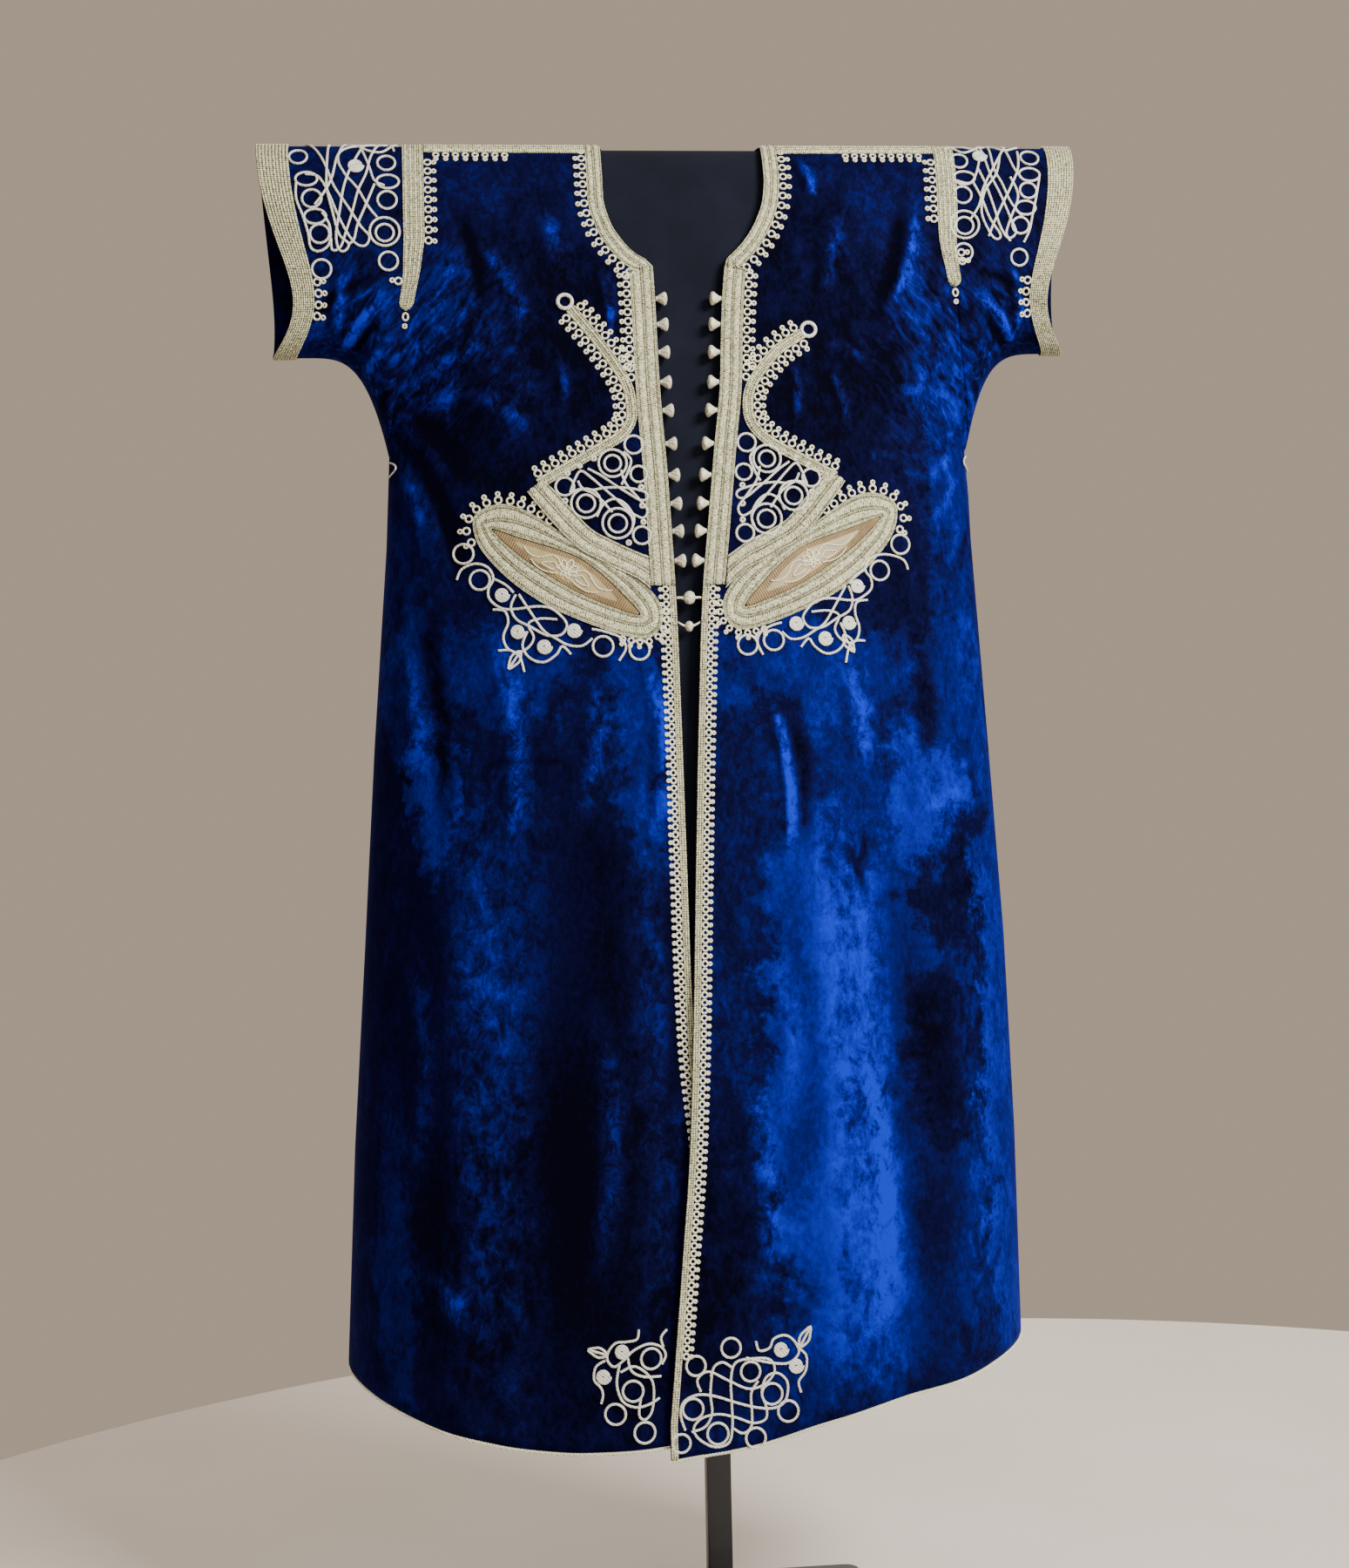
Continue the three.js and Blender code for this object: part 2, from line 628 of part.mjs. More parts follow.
function neckBand() {
  const corner = 130 - 0.4;
  const frontRows = (side) => [
    ...NECK_BAND_ROWS.map((s) => acrossStrip({ x: frontEdge(side, s), s }, besideNeckline(side, s), 2)),
    acrossStrip(
      { x: frontEdge(side, corner), s: corner },
      { x: frontEdge(side, corner) + side * PLACKET_BAND[side], s: corner + NECK_MITRE },
      2,
    ),
  ];
  const halfBack = [0.99, 0.965, 0.92, 0.84, 0.67, 0.33];
  const backRows = [...halfBack, 0, ...halfBack.map((t) => -t).reverse()].map((t) => {
    const fall = 1 - t * t;
    const inner = { x: NECK_HALF * t, s: BACK_NECK_DROP * fall };
    const outer = { x: (NECK_HALF + NECK_BAND) * t, s: (BACK_NECK_DROP + NECK_BAND) * fall };
    return acrossStrip(inner, outer, 2, { face: BACK, raise: 0.45 });
  });
  strip("neck_band", [...frontRows(RIGHT).reverse(), ...backRows, ...frontRows(LEFT)]);
}

// Rows of a band down a front edge, from one drop to another.
function edgeBand(name, side, from, to, width, mitre) {
  const hem = hemDrop(side, 0) - 1;
  const drops = panelRows.map((nominal) => rowDrop(nominal, hemDrop(side, 0)));
  const halfWay = drops.slice(1).map((s, i) => (s + drops[i]) / 2);
  const inside = [...drops, ...halfWay].filter((s) => s > from + 6 && s < Math.min(to, hem) - 6);
  const rows = [from, ...inside.sort((a, b) => a - b), Math.min(to, hem)].map((s) => {
    const inner = { x: frontEdge(side, s), s };
    const outer = { x: inner.x + side * width, s: s === from ? s + mitre : s };
    return acrossStrip(inner, outer, 1, { on: named("front", side) });
  });
  strip(named(name, side), rows);
}

function shoulderBand(side) {
  const from = side * (NECK_HALF + NECK_BAND + 0.6);
  const to = seamX(side, 0) - side * (ARMHOLE_BAND.half + 0.6);
  const rows = rowsOf(6, (i) => {
    const x = mix(from, to, i / 5);
    const front = SHOULDER_BAND_ROWS.map((s) => ({ x, s, face: FRONT }));
    const back = SHOULDER_BAND_ROWS.slice(0, -1).map((s) => ({ x, s, face: BACK }));
    return [...front, ...back.reverse()];
  });
  strip(named("shoulder_band", side), rows);
}

// Rides over the armhole seam and the shoulder fold, and ends in a point on each face.
function armholeBand(side) {
  const drops = [...UPPER_ROWS.filter((s) => s < ARMHOLE_BAND.point - 8), ARMHOLE_BAND.point];
  const row = (s, face) => {
    const taper = clamp((ARMHOLE_BAND.point - s) / (ARMHOLE_BAND.point - ARMHOLE_BAND.taperFrom), 0.06, 1);
    const ease = ARMHOLE_BAND.ease * clamp(s / 100, 0, 1) * taper;
    const middle = seamX(side, s) - side * ease;
    const half = ARMHOLE_BAND.half * taper;
    return [middle - side * half, seamX(side, s), middle + side * half].map((x) => ({ x, s, face }));
  };
  const front = drops.map((s) => row(s, FRONT)).reverse();
  const back = drops.slice(1).map((s) => row(s, BACK));
  strip(named("armhole_band", side), [...front, ...back]);
}

function cuffBand(side) {
  const rings = sleeveRings(side, SLEEVE_COLUMNS.filter((along) => along >= CUFF_BAND_FROM));
  const normals = normalsOf(rings, side, true);
  const under = moved(rings, normals, LIFT);
  add(named("cuff_band", side), wallGeometry(moved(rings, normals, LIFT + BRAID), under, true), "braid");
}

// ---- waist ornament
const ornament = (side, a, s) => ({ x: ORNAMENT_X + side * a, s: s - ORNAMENT_RAISE[side] });

// A place on a leaf from its own axes.
function leafPlace(side, { u, v }) {
  const tilt = THREE.MathUtils.degToRad(LEAF.tilt);
  const a = LEAF.a + u * Math.cos(tilt) - v * Math.sin(tilt);
  return ornament(side, a, LEAF.s - u * Math.sin(tilt) - v * Math.cos(tilt));
}

// Evenly shared places on a closed outline, starting from its first row.
function outlinePoints(outline, count) {
  const curve = new THREE.CatmullRomCurve3(outline.map(({ u, v }) => new THREE.Vector3(u, v, 0)), true, "centripetal");
  return rowsOf(count, (i) => curve.getPointAt(i / count)).map(({ x, y }) => ({ u: x, v: y }));
}

function leafRing(side) {
  const outer = outlinePoints(LEAF_OUTLINE, LEAF_SIDES);
  const inner = outlinePoints(EYE_OUTLINE, LEAF_SIDES);
  const rows = [0, 0.4, 0.7, 1].map((t) =>
    outer.map(({ u, v }, i) => leafPlace(side, { u: mix(u, inner[i].u, t), v: mix(v, inner[i].v, t) })),
  );
  strip(named("leaf", side), rows, "braid", BRAID, true);
}

// The satin set into a leaf's eye, clear of the braid all round.
function insert(side) {
  const inner = outlinePoints(EYE_OUTLINE, INSERT_SIDES);
  const middle = { u: 2, v: 4 };
  const rows = [0.97, 0.65, 0.35, 0.1].map((t) =>
    inner.map(({ u, v }) => leafPlace(side, { u: mix(middle.u, u, t), v: mix(middle.v, v, t) })),
  );
  strip(named("insert", side), rows, "satin", SATIN, true);
}

function strap(side) {
  const besidePlacket = (s) => ({ x: frontEdge(side, s) + side * (PLACKET_BAND[side] + 0.6), s });
  const rows = STRAP.map(({ a, top, bottom }) =>
    acrossStrip(ornament(side, a, top), ornament(side, a, bottom), 1),
  );
  rows.unshift(acrossStrip(besidePlacket(STRAP_END.top), besidePlacket(STRAP_END.bottom), 1));
  strip(named("strap", side), rows);
}

function branch(side) {
  const path = BRANCH[side];
  const rows = path.map(({ x, s }, i) => {
    const [before, after] = [path[Math.max(i - 1, 0)], path[Math.min(i + 1, path.length - 1)]];
    const length = Math.hypot(after.x - before.x, after.s - before.s);
    const [dx, ds] = [(after.s - before.s) / length, (before.x - after.x) / length];
    const edge = (half) => ({ x: x + dx * half, s: s + ds * half });
    return acrossStrip(edge(BRANCH_WIDTH / 2), edge(-BRANCH_WIDTH / 2), 1);
  });
  strip(named("branch", side), rows);
}

function branchRing(side) {
  const { outer, inner, sides } = BRANCH_RING;
  const centre = BRANCH_RING[side];
  const rows = [outer, inner].map((radius) =>
    rowsOf(sides, (k) => {
      const angle = (2 * Math.PI * k) / sides;
      return { x: centre.x + radius * Math.cos(angle), s: centre.s + radius * Math.sin(angle) };
    }),
  );
  strip(named("branch_ring", side), rows, "cord", BRAID, true);
}

// ---- cords and knots
// A cord along the bottom edge of a panel.
function hemCord(name) {
  const { points, normals } = surfaces.find((surface) => surface.name === name);
  const below = new THREE.Vector3(0, 0, -(HEM_CORD / 2 + SEAM_GAP));
  const last = points.length - 1;
  const run = points[last].map((p, j) => p.clone().addScaledVector(normals[last][j], -CLOTH / 2).add(below));
  run[run.length - 1].lerp(run[run.length - 2], 0.06);
  if (name === "back") run[0].lerp(run[1], 0.06);
  add(`hem_${name}`, cordGeometry(run, HEM_CORD / 2, 6), "cord");
}

// A knot lying across x, from `from` to `to`.
function knotGeometry(from, to) {
  const length = KNOT_PROFILE[KNOT_PROFILE.length - 1].along;
  const rings = KNOT_PROFILE.map(({ along, radius }) => {
    const centre = from.clone().lerp(to, along / length);
    return rowsOf(KNOT_SIDES, (k) => {
      const angle = (2 * Math.PI * (k + 0.5)) / KNOT_SIDES;
      return centre.clone().add(new THREE.Vector3(0, radius * Math.cos(angle), radius * Math.sin(angle)));
    });
  });
  return loftGeometry(rings);
}

// The middle of a front's edge, a seam's gap clear of the cloth.
function besideEdge(side, s) {
  const { cut, points, normals } = surfaces.find(({ name }) => name === named("front", side));
  const i = cut.findIndex((row) => row[0].s > s) - 1;
  const share = (s - cut[i][0].s) / (cut[i + 1][0].s - cut[i][0].s);
  const [above, below] = [i, i + 1].map((k) => points[k][0].clone().addScaledVector(normals[k][0], -CLOTH / 2));
  const point = above.lerp(below, share);
  point.x -= side * (SEAM_GAP + 0.3);
  return point;
}

function knots() {
  const length = KNOT_PROFILE[KNOT_PROFILE.length - 1].along;
  for (const side of [LEFT, RIGHT])
    KNOT_DROPS.forEach((s, i) => {
      const from = besideEdge(side, s);
      const to = from.clone();
      to.x -= side * length;
      add(`${named("knot", side)}_${i + 1}`, knotGeometry(from, to), "cord");
    });
  CLOSING_KNOT_DROPS.forEach((s, i) => {
    add(`knot_closed_${i + 1}`, knotGeometry(besideEdge(LEFT, s), besideEdge(RIGHT, s)), "cord");
  });
}

// A loop of cord standing off the side seam under the arm.
function beltLoop(side) {
  const { from, to, cord, stand, clearance } = BELT_LOOP;
  const run = rowsOf(7, (i) => {
    const s = mix(from, to, i / 6);
    const seam = bodyMiddle(UNDERARM_DROP) + side * bodyHalf(s);
    const out = cord + clearance + (stand - cord) * Math.sin((Math.PI * i) / 6);
    return new THREE.Vector3(seam + side * out, 0, SHOULDER_HEIGHT - s);
  });
  add(named("belt_loop", side), cordGeometry(run, cord, 6), "cord");
}

// ---- stand
function form() {
  const rings = FORM.map(({ s, half, swell }) =>
    rowsOf(FORM_SIDES, (k) => {
      const angle = (2 * Math.PI * k) / FORM_SIDES;
      const [c, d] = [Math.cos(angle), Math.sin(angle)];
      const face = d > 0 ? BACK_DEPTH : 1;
      const depth = Math.max(1, hangingDepth(s - 1.5) * face * FORM_EASE.share - FORM_EASE.gap) * swell;
      const power = 2 / FORM_SQUARENESS;
      const x = bodyMiddle(s) + half * Math.sign(c) * Math.abs(c) ** power;
      return new THREE.Vector3(x, depth * Math.sign(d) * Math.abs(d) ** power, SHOULDER_HEIGHT - s);
    }),
  );
  add("form", loftGeometry(rings), "form");
}

// Bars that carry the sleeves, hidden inside them.
function arm(side) {
  const { radius, reach, sides } = ARM;
  const middle = SHOULDER_HEIGHT - CLOTH - LIFT - radius;
  const rings = [bodyMiddle(20) + side * (FORM[3].half + 0.8), side * reach].map((x) =>
    rowsOf(sides, (k) => {
      const angle = (2 * Math.PI * (k + 0.5)) / sides;
      return new THREE.Vector3(x, radius * Math.cos(angle), middle + radius * Math.sin(angle));
    }),
  );
  add(named("arm", side), loftGeometry(rings), "steel");
}

function postAndBase() {
  const formBottom = SHOULDER_HEIGHT - FORM[FORM.length - 1].s;
  const [low, high] = [BASE.height + SEAM_GAP, formBottom - SEAM_GAP];
  const post = new THREE.BoxGeometry(POST.size, POST.size, high - low);
  post.translate(POST.x, 0, (low + high) / 2);
  add("post", post, "steel");
  const { width, depth, height, corner } = BASE;
  const shape = new THREE.Shape();
  shape.moveTo(-width / 2 + corner, -depth / 2);
  shape.lineTo(width / 2 - corner, -depth / 2);
  shape.absarc(width / 2 - corner, -depth / 2 + corner, corner, -Math.PI / 2, 0);
  shape.absarc(width / 2 - corner, depth / 2 - corner, corner, 0, Math.PI / 2);
  shape.absarc(-width / 2 + corner, depth / 2 - corner, corner, Math.PI / 2, Math.PI);
  shape.absarc(-width / 2 + corner, -depth / 2 + corner, corner, Math.PI, 1.5 * Math.PI);
  add("base", new THREE.ExtrudeGeometry(shape, { depth: height, bevelEnabled: false, curveSegments: 4 }), "steel");
}

backPanel();
for (const side of [LEFT, RIGHT]) {
  frontPanel(side);
  sleeve(side);
}
neckBand();
for (const side of [LEFT, RIGHT]) {
  edgeBand("placket_band", side, 130, PLACKET_END, PLACKET_BAND[side], NECK_MITRE);
  edgeBand("front_border", side, PLACKET_END + 0.6, BODY_LENGTH + 100, BORDER_BAND, 0);
  shoulderBand(side);
  armholeBand(side);
  cuffBand(side);
  leafRing(side);
  insert(side);
  strap(side);
  branch(side);
  branchRing(side);
  beltLoop(side);
  arm(side);
  hemCord(named("front", side));
}
hemCord("back");
knots();
form();
postAndBase();

export default kaftan;
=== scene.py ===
# A velvet kaftan with braid trimming on a padded display stand.
# Lengths are in millimetres until a mesh is written, which is in metres.
# x runs across the cloth and s is the drop below the shoulder line, so (x, s) is a
# place on the cloth. A negative s is on the back, over the shoulder fold.
import math

import bmesh
import bpy
import numpy as np
from mathutils import Matrix, Vector


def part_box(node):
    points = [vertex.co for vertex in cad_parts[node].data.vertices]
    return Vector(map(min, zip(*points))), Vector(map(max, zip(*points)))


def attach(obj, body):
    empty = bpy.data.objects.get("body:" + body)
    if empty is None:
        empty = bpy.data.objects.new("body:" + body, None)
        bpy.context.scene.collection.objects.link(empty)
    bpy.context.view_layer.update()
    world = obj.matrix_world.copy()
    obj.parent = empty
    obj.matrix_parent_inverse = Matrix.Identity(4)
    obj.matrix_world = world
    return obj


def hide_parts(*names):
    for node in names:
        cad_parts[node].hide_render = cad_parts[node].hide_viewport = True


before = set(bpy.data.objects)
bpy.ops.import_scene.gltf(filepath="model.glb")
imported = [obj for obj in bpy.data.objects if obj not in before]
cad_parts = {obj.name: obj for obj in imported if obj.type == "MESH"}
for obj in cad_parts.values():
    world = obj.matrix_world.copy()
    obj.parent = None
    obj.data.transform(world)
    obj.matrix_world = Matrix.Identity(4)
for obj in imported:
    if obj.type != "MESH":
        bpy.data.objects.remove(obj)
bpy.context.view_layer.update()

MM = 0.001
SHOULDER_HEIGHT = 1520.0
LEFT, RIGHT = -1, 1
FRONT, BACK = -1, 1
SIDE_NAMES = {LEFT: "left", RIGHT: "right"}

# ---- the cut of the cloth
BODY_DROP = [0, 100, 200, 308, 400, 600, 800, 1000, 1235]
BODY_HALF = [268, 271, 279, 293.5, 297.5, 312.5, 326, 337, 345]
BODY_MIDDLE = [0, -2, -4, -5, -6, -8, -9, -13, -18]
FRONT_EDGE = {
    LEFT: (
        [0, 58, 84, 103, 116, 123, 130, 247, 351, 504, 721, 886, 1000, 1240],
        [-81, -81, -75, -64, -52, -41, -35, -33, -28, -24, -23, -20, -10, 8],
    ),
    RIGHT: (
        [0, 34, 60, 84, 103, 115, 123, 130, 186, 248, 310, 385, 463, 571, 721, 886, 992, 1090, 1240],
        [81, 81, 78, 69, 57, 46, 38, 36, 30, 26, 18, 9, 0, -7, -15, -23, -30, -40, -56],
    ),
}
HEM = {
    LEFT: ([0, 0.5, 0.83, 1], [1258, 1266, 1240, 1215]),
    RIGHT: ([0, 0.25, 0.42, 0.7, 1], [1272, 1262, 1240, 1228, 1206]),
}
BACK_HEM_MIDDLE = 1232
BODY_LENGTH = 1240
UNDERARM_DROP = 308
UNDERARM_X = 293.5
SLEEVE_MIDDLE = -5
CUFF_TOP = {LEFT: 417, RIGHT: 406}
CUFF_BOTTOM = {LEFT: 406, RIGHT: 396}
CUFF_DROP = 209
NECK_HALF = 81
BACK_NECK_DROP = 22
BACK_SHARE = 0.8  # how deep the back hangs against the front
BODY_SQUARENESS = 2.4
CLOTH = 2.0
VELVET_WALL = 1.6
SEAM_GAP = 0.3
# Below the armhole the depth at the seam eases out to nothing.
EASE_FROM, EASE_LENGTH, EASE_DEPTH, EASE_FALL = 250, 120, 39.1, 31.1
# The left front goes back under the right one.
OVERLAP_SETBACK, OVERLAP_FROM, OVERLAP_LENGTH = 9, 690, 180

# Broad folds in the cloth: face, x1, s1, x2, s2, half width, height.
BROAD_FOLDS = [
    (FRONT, 95, 560, 118, 1290, 34, 7),
    (FRONT, 165, 600, 186, 1290, 30, -6),
    (FRONT, 232, 660, 250, 1290, 32, 5),
    (FRONT, -78, 560, -84, 1290, 34, 5),
    (FRONT, -165, 620, -176, 1290, 38, -6),
    (FRONT, -245, 520, -262, 1290, 30, 6),
    (FRONT, 232, 80, 196, 320, 34, 4),
    (FRONT, -236, 120, -180, 330, 34, 4),
    (BACK, -205, 420, -228, 1290, 36, 7),
    (BACK, -112, 300, -122, 1290, 34, -7),
    (BACK, -20, 480, -28, 1290, 36, 8),
    (BACK, 82, 340, 92, 1290, 34, -7),
    (BACK, 190, 440, 210, 1290, 36, 7),
    (BACK, 232, 90, 190, 320, 26, 4),
    (BACK, -236, 90, -196, 320, 26, 4),
]
# Creases narrower than this bow a little along their way, by a share of their length.
FINE_CREASE = 20
CREASE_BOW = 0.06
# Creases that are too fine for the solid cloth, with the same columns.
CREASES = [
    (FRONT, -298, 277, -231, 444, 9, -4.0),
    (FRONT, -302, 252, -221, 345, 10, -3.6),
    (FRONT, -299, 312, -268, 404, 7, 3.0),
    (FRONT, -287, 252, -199, 202, 8, 2.8),
    (FRONT, -284, 230, -206, 160, 8, 2.4),
    (FRONT, -290, 278, -214, 250, 8, 2.2),
    (FRONT, -262, 200, -226, 110, 8, 2.0),
    (FRONT, -226, 250, -160, 300, 9, 1.6),
    (FRONT, -214, 96, -160, 206, 9, 1.8),
    (FRONT, -236, 60, -206, 180, 8, -1.8),
    (FRONT, -150, 60, -132, 150, 9, 1.4),
    (FRONT, -92, 120, -84, 224, 5, 1.4),
    (FRONT, -78, 118, -70, 210, 4, -1.2),
    (FRONT, -135, 214, -130, 272, 5, 1.2),
    (FRONT, 234, 46, 193, 182, 8, 3.6),
    (FRONT, 214, 60, 176, 186, 9, -2.2),
    (FRONT, 252, 70, 222, 200, 8, -2.2),
    (FRONT, 240, 112, 264, 162, 7, 2.6),
    (FRONT, 274, 300, 222, 346, 7, 3.0),
    (FRONT, 286, 286, 232, 320, 6, -2.6),
    (FRONT, 266, 330, 234, 386, 7, 2.8),
    (FRONT, 282, 340, 258, 450, 8, -3.0),
    (FRONT, 290, 330, 284, 440, 6, 2.4),
    (FRONT, 258, 210, 200, 262, 8, 2.2),
    (FRONT, 244, 180, 176, 226, 8, -1.8),
    (FRONT, 113, 14, 129, 60, 6, 2.0),
    (FRONT, 150, 60, 124, 170, 9, 1.4),
    (FRONT, 95, 218, 98, 294, 5, 1.5),
    (FRONT, 133, 230, 152, 292, 5, 1.7),
    (FRONT, 160, 325, 200, 317, 4.5, 1.1),
    (FRONT, 116, 206, 180, 226, 5, 1.0),
    (FRONT, -110, 520, -128, 680, 11, 1.6),
    (FRONT, -206, 470, -196, 720, 12, 2.0),
    (FRONT, -284, 440, -262, 700, 10, -3.0),
    (FRONT, -300, 480, -286, 640, 8, 2.2),
    (FRONT, -236, 620, -132, 616, 5, -1.4),
    (FRONT, -60, 500, -52, 700, 8, 2.0),
    (FRONT, 60, 548, 71, 730, 5, 2.6),
    (FRONT, 78, 560, 84, 720, 8, -1.6),
    (FRONT, 132, 500, 150, 640, 11, 2.0),
    (FRONT, 208, 480, 214, 640, 12, -2.0),
    (FRONT, 272, 430, 282, 690, 10, 2.2),
    (FRONT, 152, 684, 136, 738, 5, -1.5),
    (FRONT, 126, 696, 152, 764, 5, -1.5),
    (FRONT, 148, 764, 194, 748, 5, -1.2),
    (FRONT, 264, 640, 206, 672, 8, 1.6),
    (FRONT, 56, 780, 60, 980, 12, 1.6),
    (FRONT, -52, 700, -58, 980, 12, -1.4),
    (FRONT, -120, 820, -132, 1130, 14, 2.0),
    (FRONT, -296, 760, -300, 1050, 12, 2.0),
    (FRONT, 136, 880, 146, 1180, 12, 1.8),
    (FRONT, 296, 800, 306, 1120, 12, -2.2),
    (FRONT, 20, 900, 30, 1150, 12, 1.4),
    (FRONT, -318, 1090, -240, 1150, 12, 2.0),
    (FRONT, 250, 1090, 320, 1050, 12, 1.8),
    (BACK, 262, 236, 170, 330, 8, 2.6),
    (BACK, -262, 236, -170, 330, 8, 2.6),
    (BACK, 274, 280, 190, 400, 8, -2.6),
    (BACK, -274, 280, -190, 400, 8, -2.6),
    (BACK, -60, 120, -40, 360, 16, 2.0),
    (BACK, 70, 150, 50, 420, 16, -2.0),
    (BACK, 140, 420, 150, 800, 14, 2.0),
    (BACK, -160, 480, -172, 900, 14, 2.0),
    (BACK, 20, 700, 26, 1100, 14, -2.0),
    (BACK, -270, 600, -286, 1000, 12, 2.2),
    (BACK, 266, 640, 280, 1020, 12, 2.2),
]
# The same on the sleeves, mirrored from one to the other.
SLEEVE_CREASES = [
    (290, 150, 352, 226, 6, 2.6),
    (300, 132, 374, 178, 6, -2.2),
    (292, 196, 330, 256, 6, 2.4),
    (330, 120, 342, 205, 6, 2.0),
    (286, 236, 314, 286, 6, -2.4),
    (300, 176, 346, 240, 5, -1.8),
    (318, 206, 352, 226, 5, 1.6),
]
# Where the pile lies lighter or darker, partly as painted light: lighter patches on the right skirt and
# darker ones over the chest stand partly for light falling from the right. x, s, half width, half length and
# how much.
# A negative s is on the back.
PILE_AND_LIGHT_PATCHES = [
    (150, 900, 170, 400, 0.14), (85, 940, 40, 340, 0.3), (165, 830, 74, 110, 0.2),
    (130, 1090, 64, 120, 0.18), (300, 930, 30, 420, 0.34), (110, 535, 150, 46, 0.2),
    (215, 662, 44, 70, 0.32), (125, 630, 60, 60, 0.04), (240, 752, 38, 66, -0.2),
    (238, 905, 48, 84, -0.2), (26, 860, 26, 260, -0.06), (210, 1090, 60, 130, 0.1),
    (255, 560, 40, 120, 0.24), (270, 330, 40, 110, 0.26), (205, 130, 44, 120, 0.08),
    (250, 205, 40, 70, 0.06), (-268, 640, 28, 76, 0.36), (-286, 540, 40, 80, 0.22),
    (-60, 600, 30, 120, 0.24), (-190, 530, 80, 40, 0.16), (-205, 760, 66, 160, 0.06),
    (-130, 1100, 170, 200, -0.14), (-335, 185, 70, 95, 0.12), (-235, 190, 50, 90, 0.1),
    (-310, 1080, 24, 160, 0.16), (-150, 270, 110, 190, -0.16), (120, 240, 80, 200, -0.14),
    (-150, -300, 80, 160, 0.14), (120, -260, 90, 140, 0.12), (-60, -700, 50, 300, 0.24),
    (180, -820, 60, 260, 0.28), (40, -1000, 50, 200, 0.18), (-220, -900, 50, 240, 0.24),
    (-280, -480, 40, 160, 0.2), (270, -500, 40, 160, 0.24),
]  # fmt: skip


def smooth(t):
    t = np.clip(t, 0, 1)
    return t * t * (3 - 2 * t)


def hem_drop(side, out):
    """The drop of a front's hem, with the corners of its table rounded."""
    reach = np.minimum(0.1, np.minimum(out, 1 - out))
    return np.mean([np.interp(out + step * reach, *HEM[side]) for step in np.linspace(-1, 1, 9)], axis=0)


def flow(s, at, values):
    """A smooth line through a table, with no overshoot between its entries."""
    at, values = np.asarray(at, float), np.asarray(values, float)
    rise = np.diff(values) / np.diff(at)
    slope = np.zeros_like(values)
    pairs = rise[1:] * rise[:-1]
    slope[1:-1] = np.where(pairs > 0, 2 * pairs / np.where(pairs > 0, rise[1:] + rise[:-1], 1), 0)
    slope[0], slope[-1] = rise[0], rise[-1]
    s = np.clip(s, at[0], at[-1])
    i = np.clip(np.searchsorted(at, s, "right") - 1, 0, len(at) - 2)
    width = at[i + 1] - at[i]
    t = (s - at[i]) / width
    ends = values[i] * (1 + 2 * t) * (1 - t) ** 2 + values[i + 1] * (3 - 2 * t) * t * t
    return ends + width * (slope[i] * t * (1 - t) ** 2 - slope[i + 1] * t * t * (1 - t))


def body_half(s):
    return np.interp(s, BODY_DROP, BODY_HALF)


def body_middle(s):
    return np.interp(s, BODY_DROP, BODY_MIDDLE)


def front_edge(side, s):
    return flow(s, *FRONT_EDGE[side])


def hanging_depth(s):
    return np.sqrt(25.0 * np.maximum(s, 0)) + 0.02 * s


def underarm_drop(reach):
    t = np.clip((reach - UNDERARM_X) / 84, 0, 1)
    return CUFF_DROP + 99 * (1 - t) ** 4


def sleeve_depth(x, s):
    reach = np.abs(x - SLEEVE_MIDDLE)
    along = np.clip((reach - UNDERARM_X) / (CUFF_TOP[RIGHT] - UNDERARM_X), 0, 1)
    share = np.clip(s / underarm_drop(reach), 0, 1)
    return 2 * (50 - 5 * along) * np.sqrt(share * (1 - share))


def ridge(x, s, x1, s1, x2, s2, width, height, fade_out=True):
    """A soft ridge, or a trough where height is negative, along a line on the cloth."""
    dx, ds = x2 - x1, s2 - s1
    t = ((x - x1) * dx + (s - s1) * ds) / (dx * dx + ds * ds)
    across = ((x - x1) * ds - (s - s1) * dx) / math.hypot(dx, ds)
    if width < FINE_CREASE:
        across = across - CREASE_BOW * math.hypot(dx, ds) * np.sin(math.pi * np.clip(t, 0, 1))
    ends = smooth(t * 3) * (smooth((1 - t) * 3) if fade_out else 1)
    return height * ends * np.exp(-((across / width) ** 2))


def folds(face, x, s):
    height = np.zeros_like(x)
    for f, x1, s1, x2, s2, width, rise in BROAD_FOLDS:
        if f == face:
            height += ridge(x, s, x1, s1, x2, s2, width, rise, s2 < BODY_LENGTH)
    for f, x1, s1, x2, s2, width, rise in CREASES:
        if f == face:
            height += ridge(x, s, x1, s1, x2, s2, width, rise)
    return height


def sleeve_folds(x, s):
    height = np.zeros_like(x)
    reach = np.abs(x - SLEEVE_MIDDLE)
    for x1, s1, x2, s2, width, rise in SLEEVE_CREASES:
        height += ridge(reach, s, x1, s1, x2, s2, width, rise)
    return height


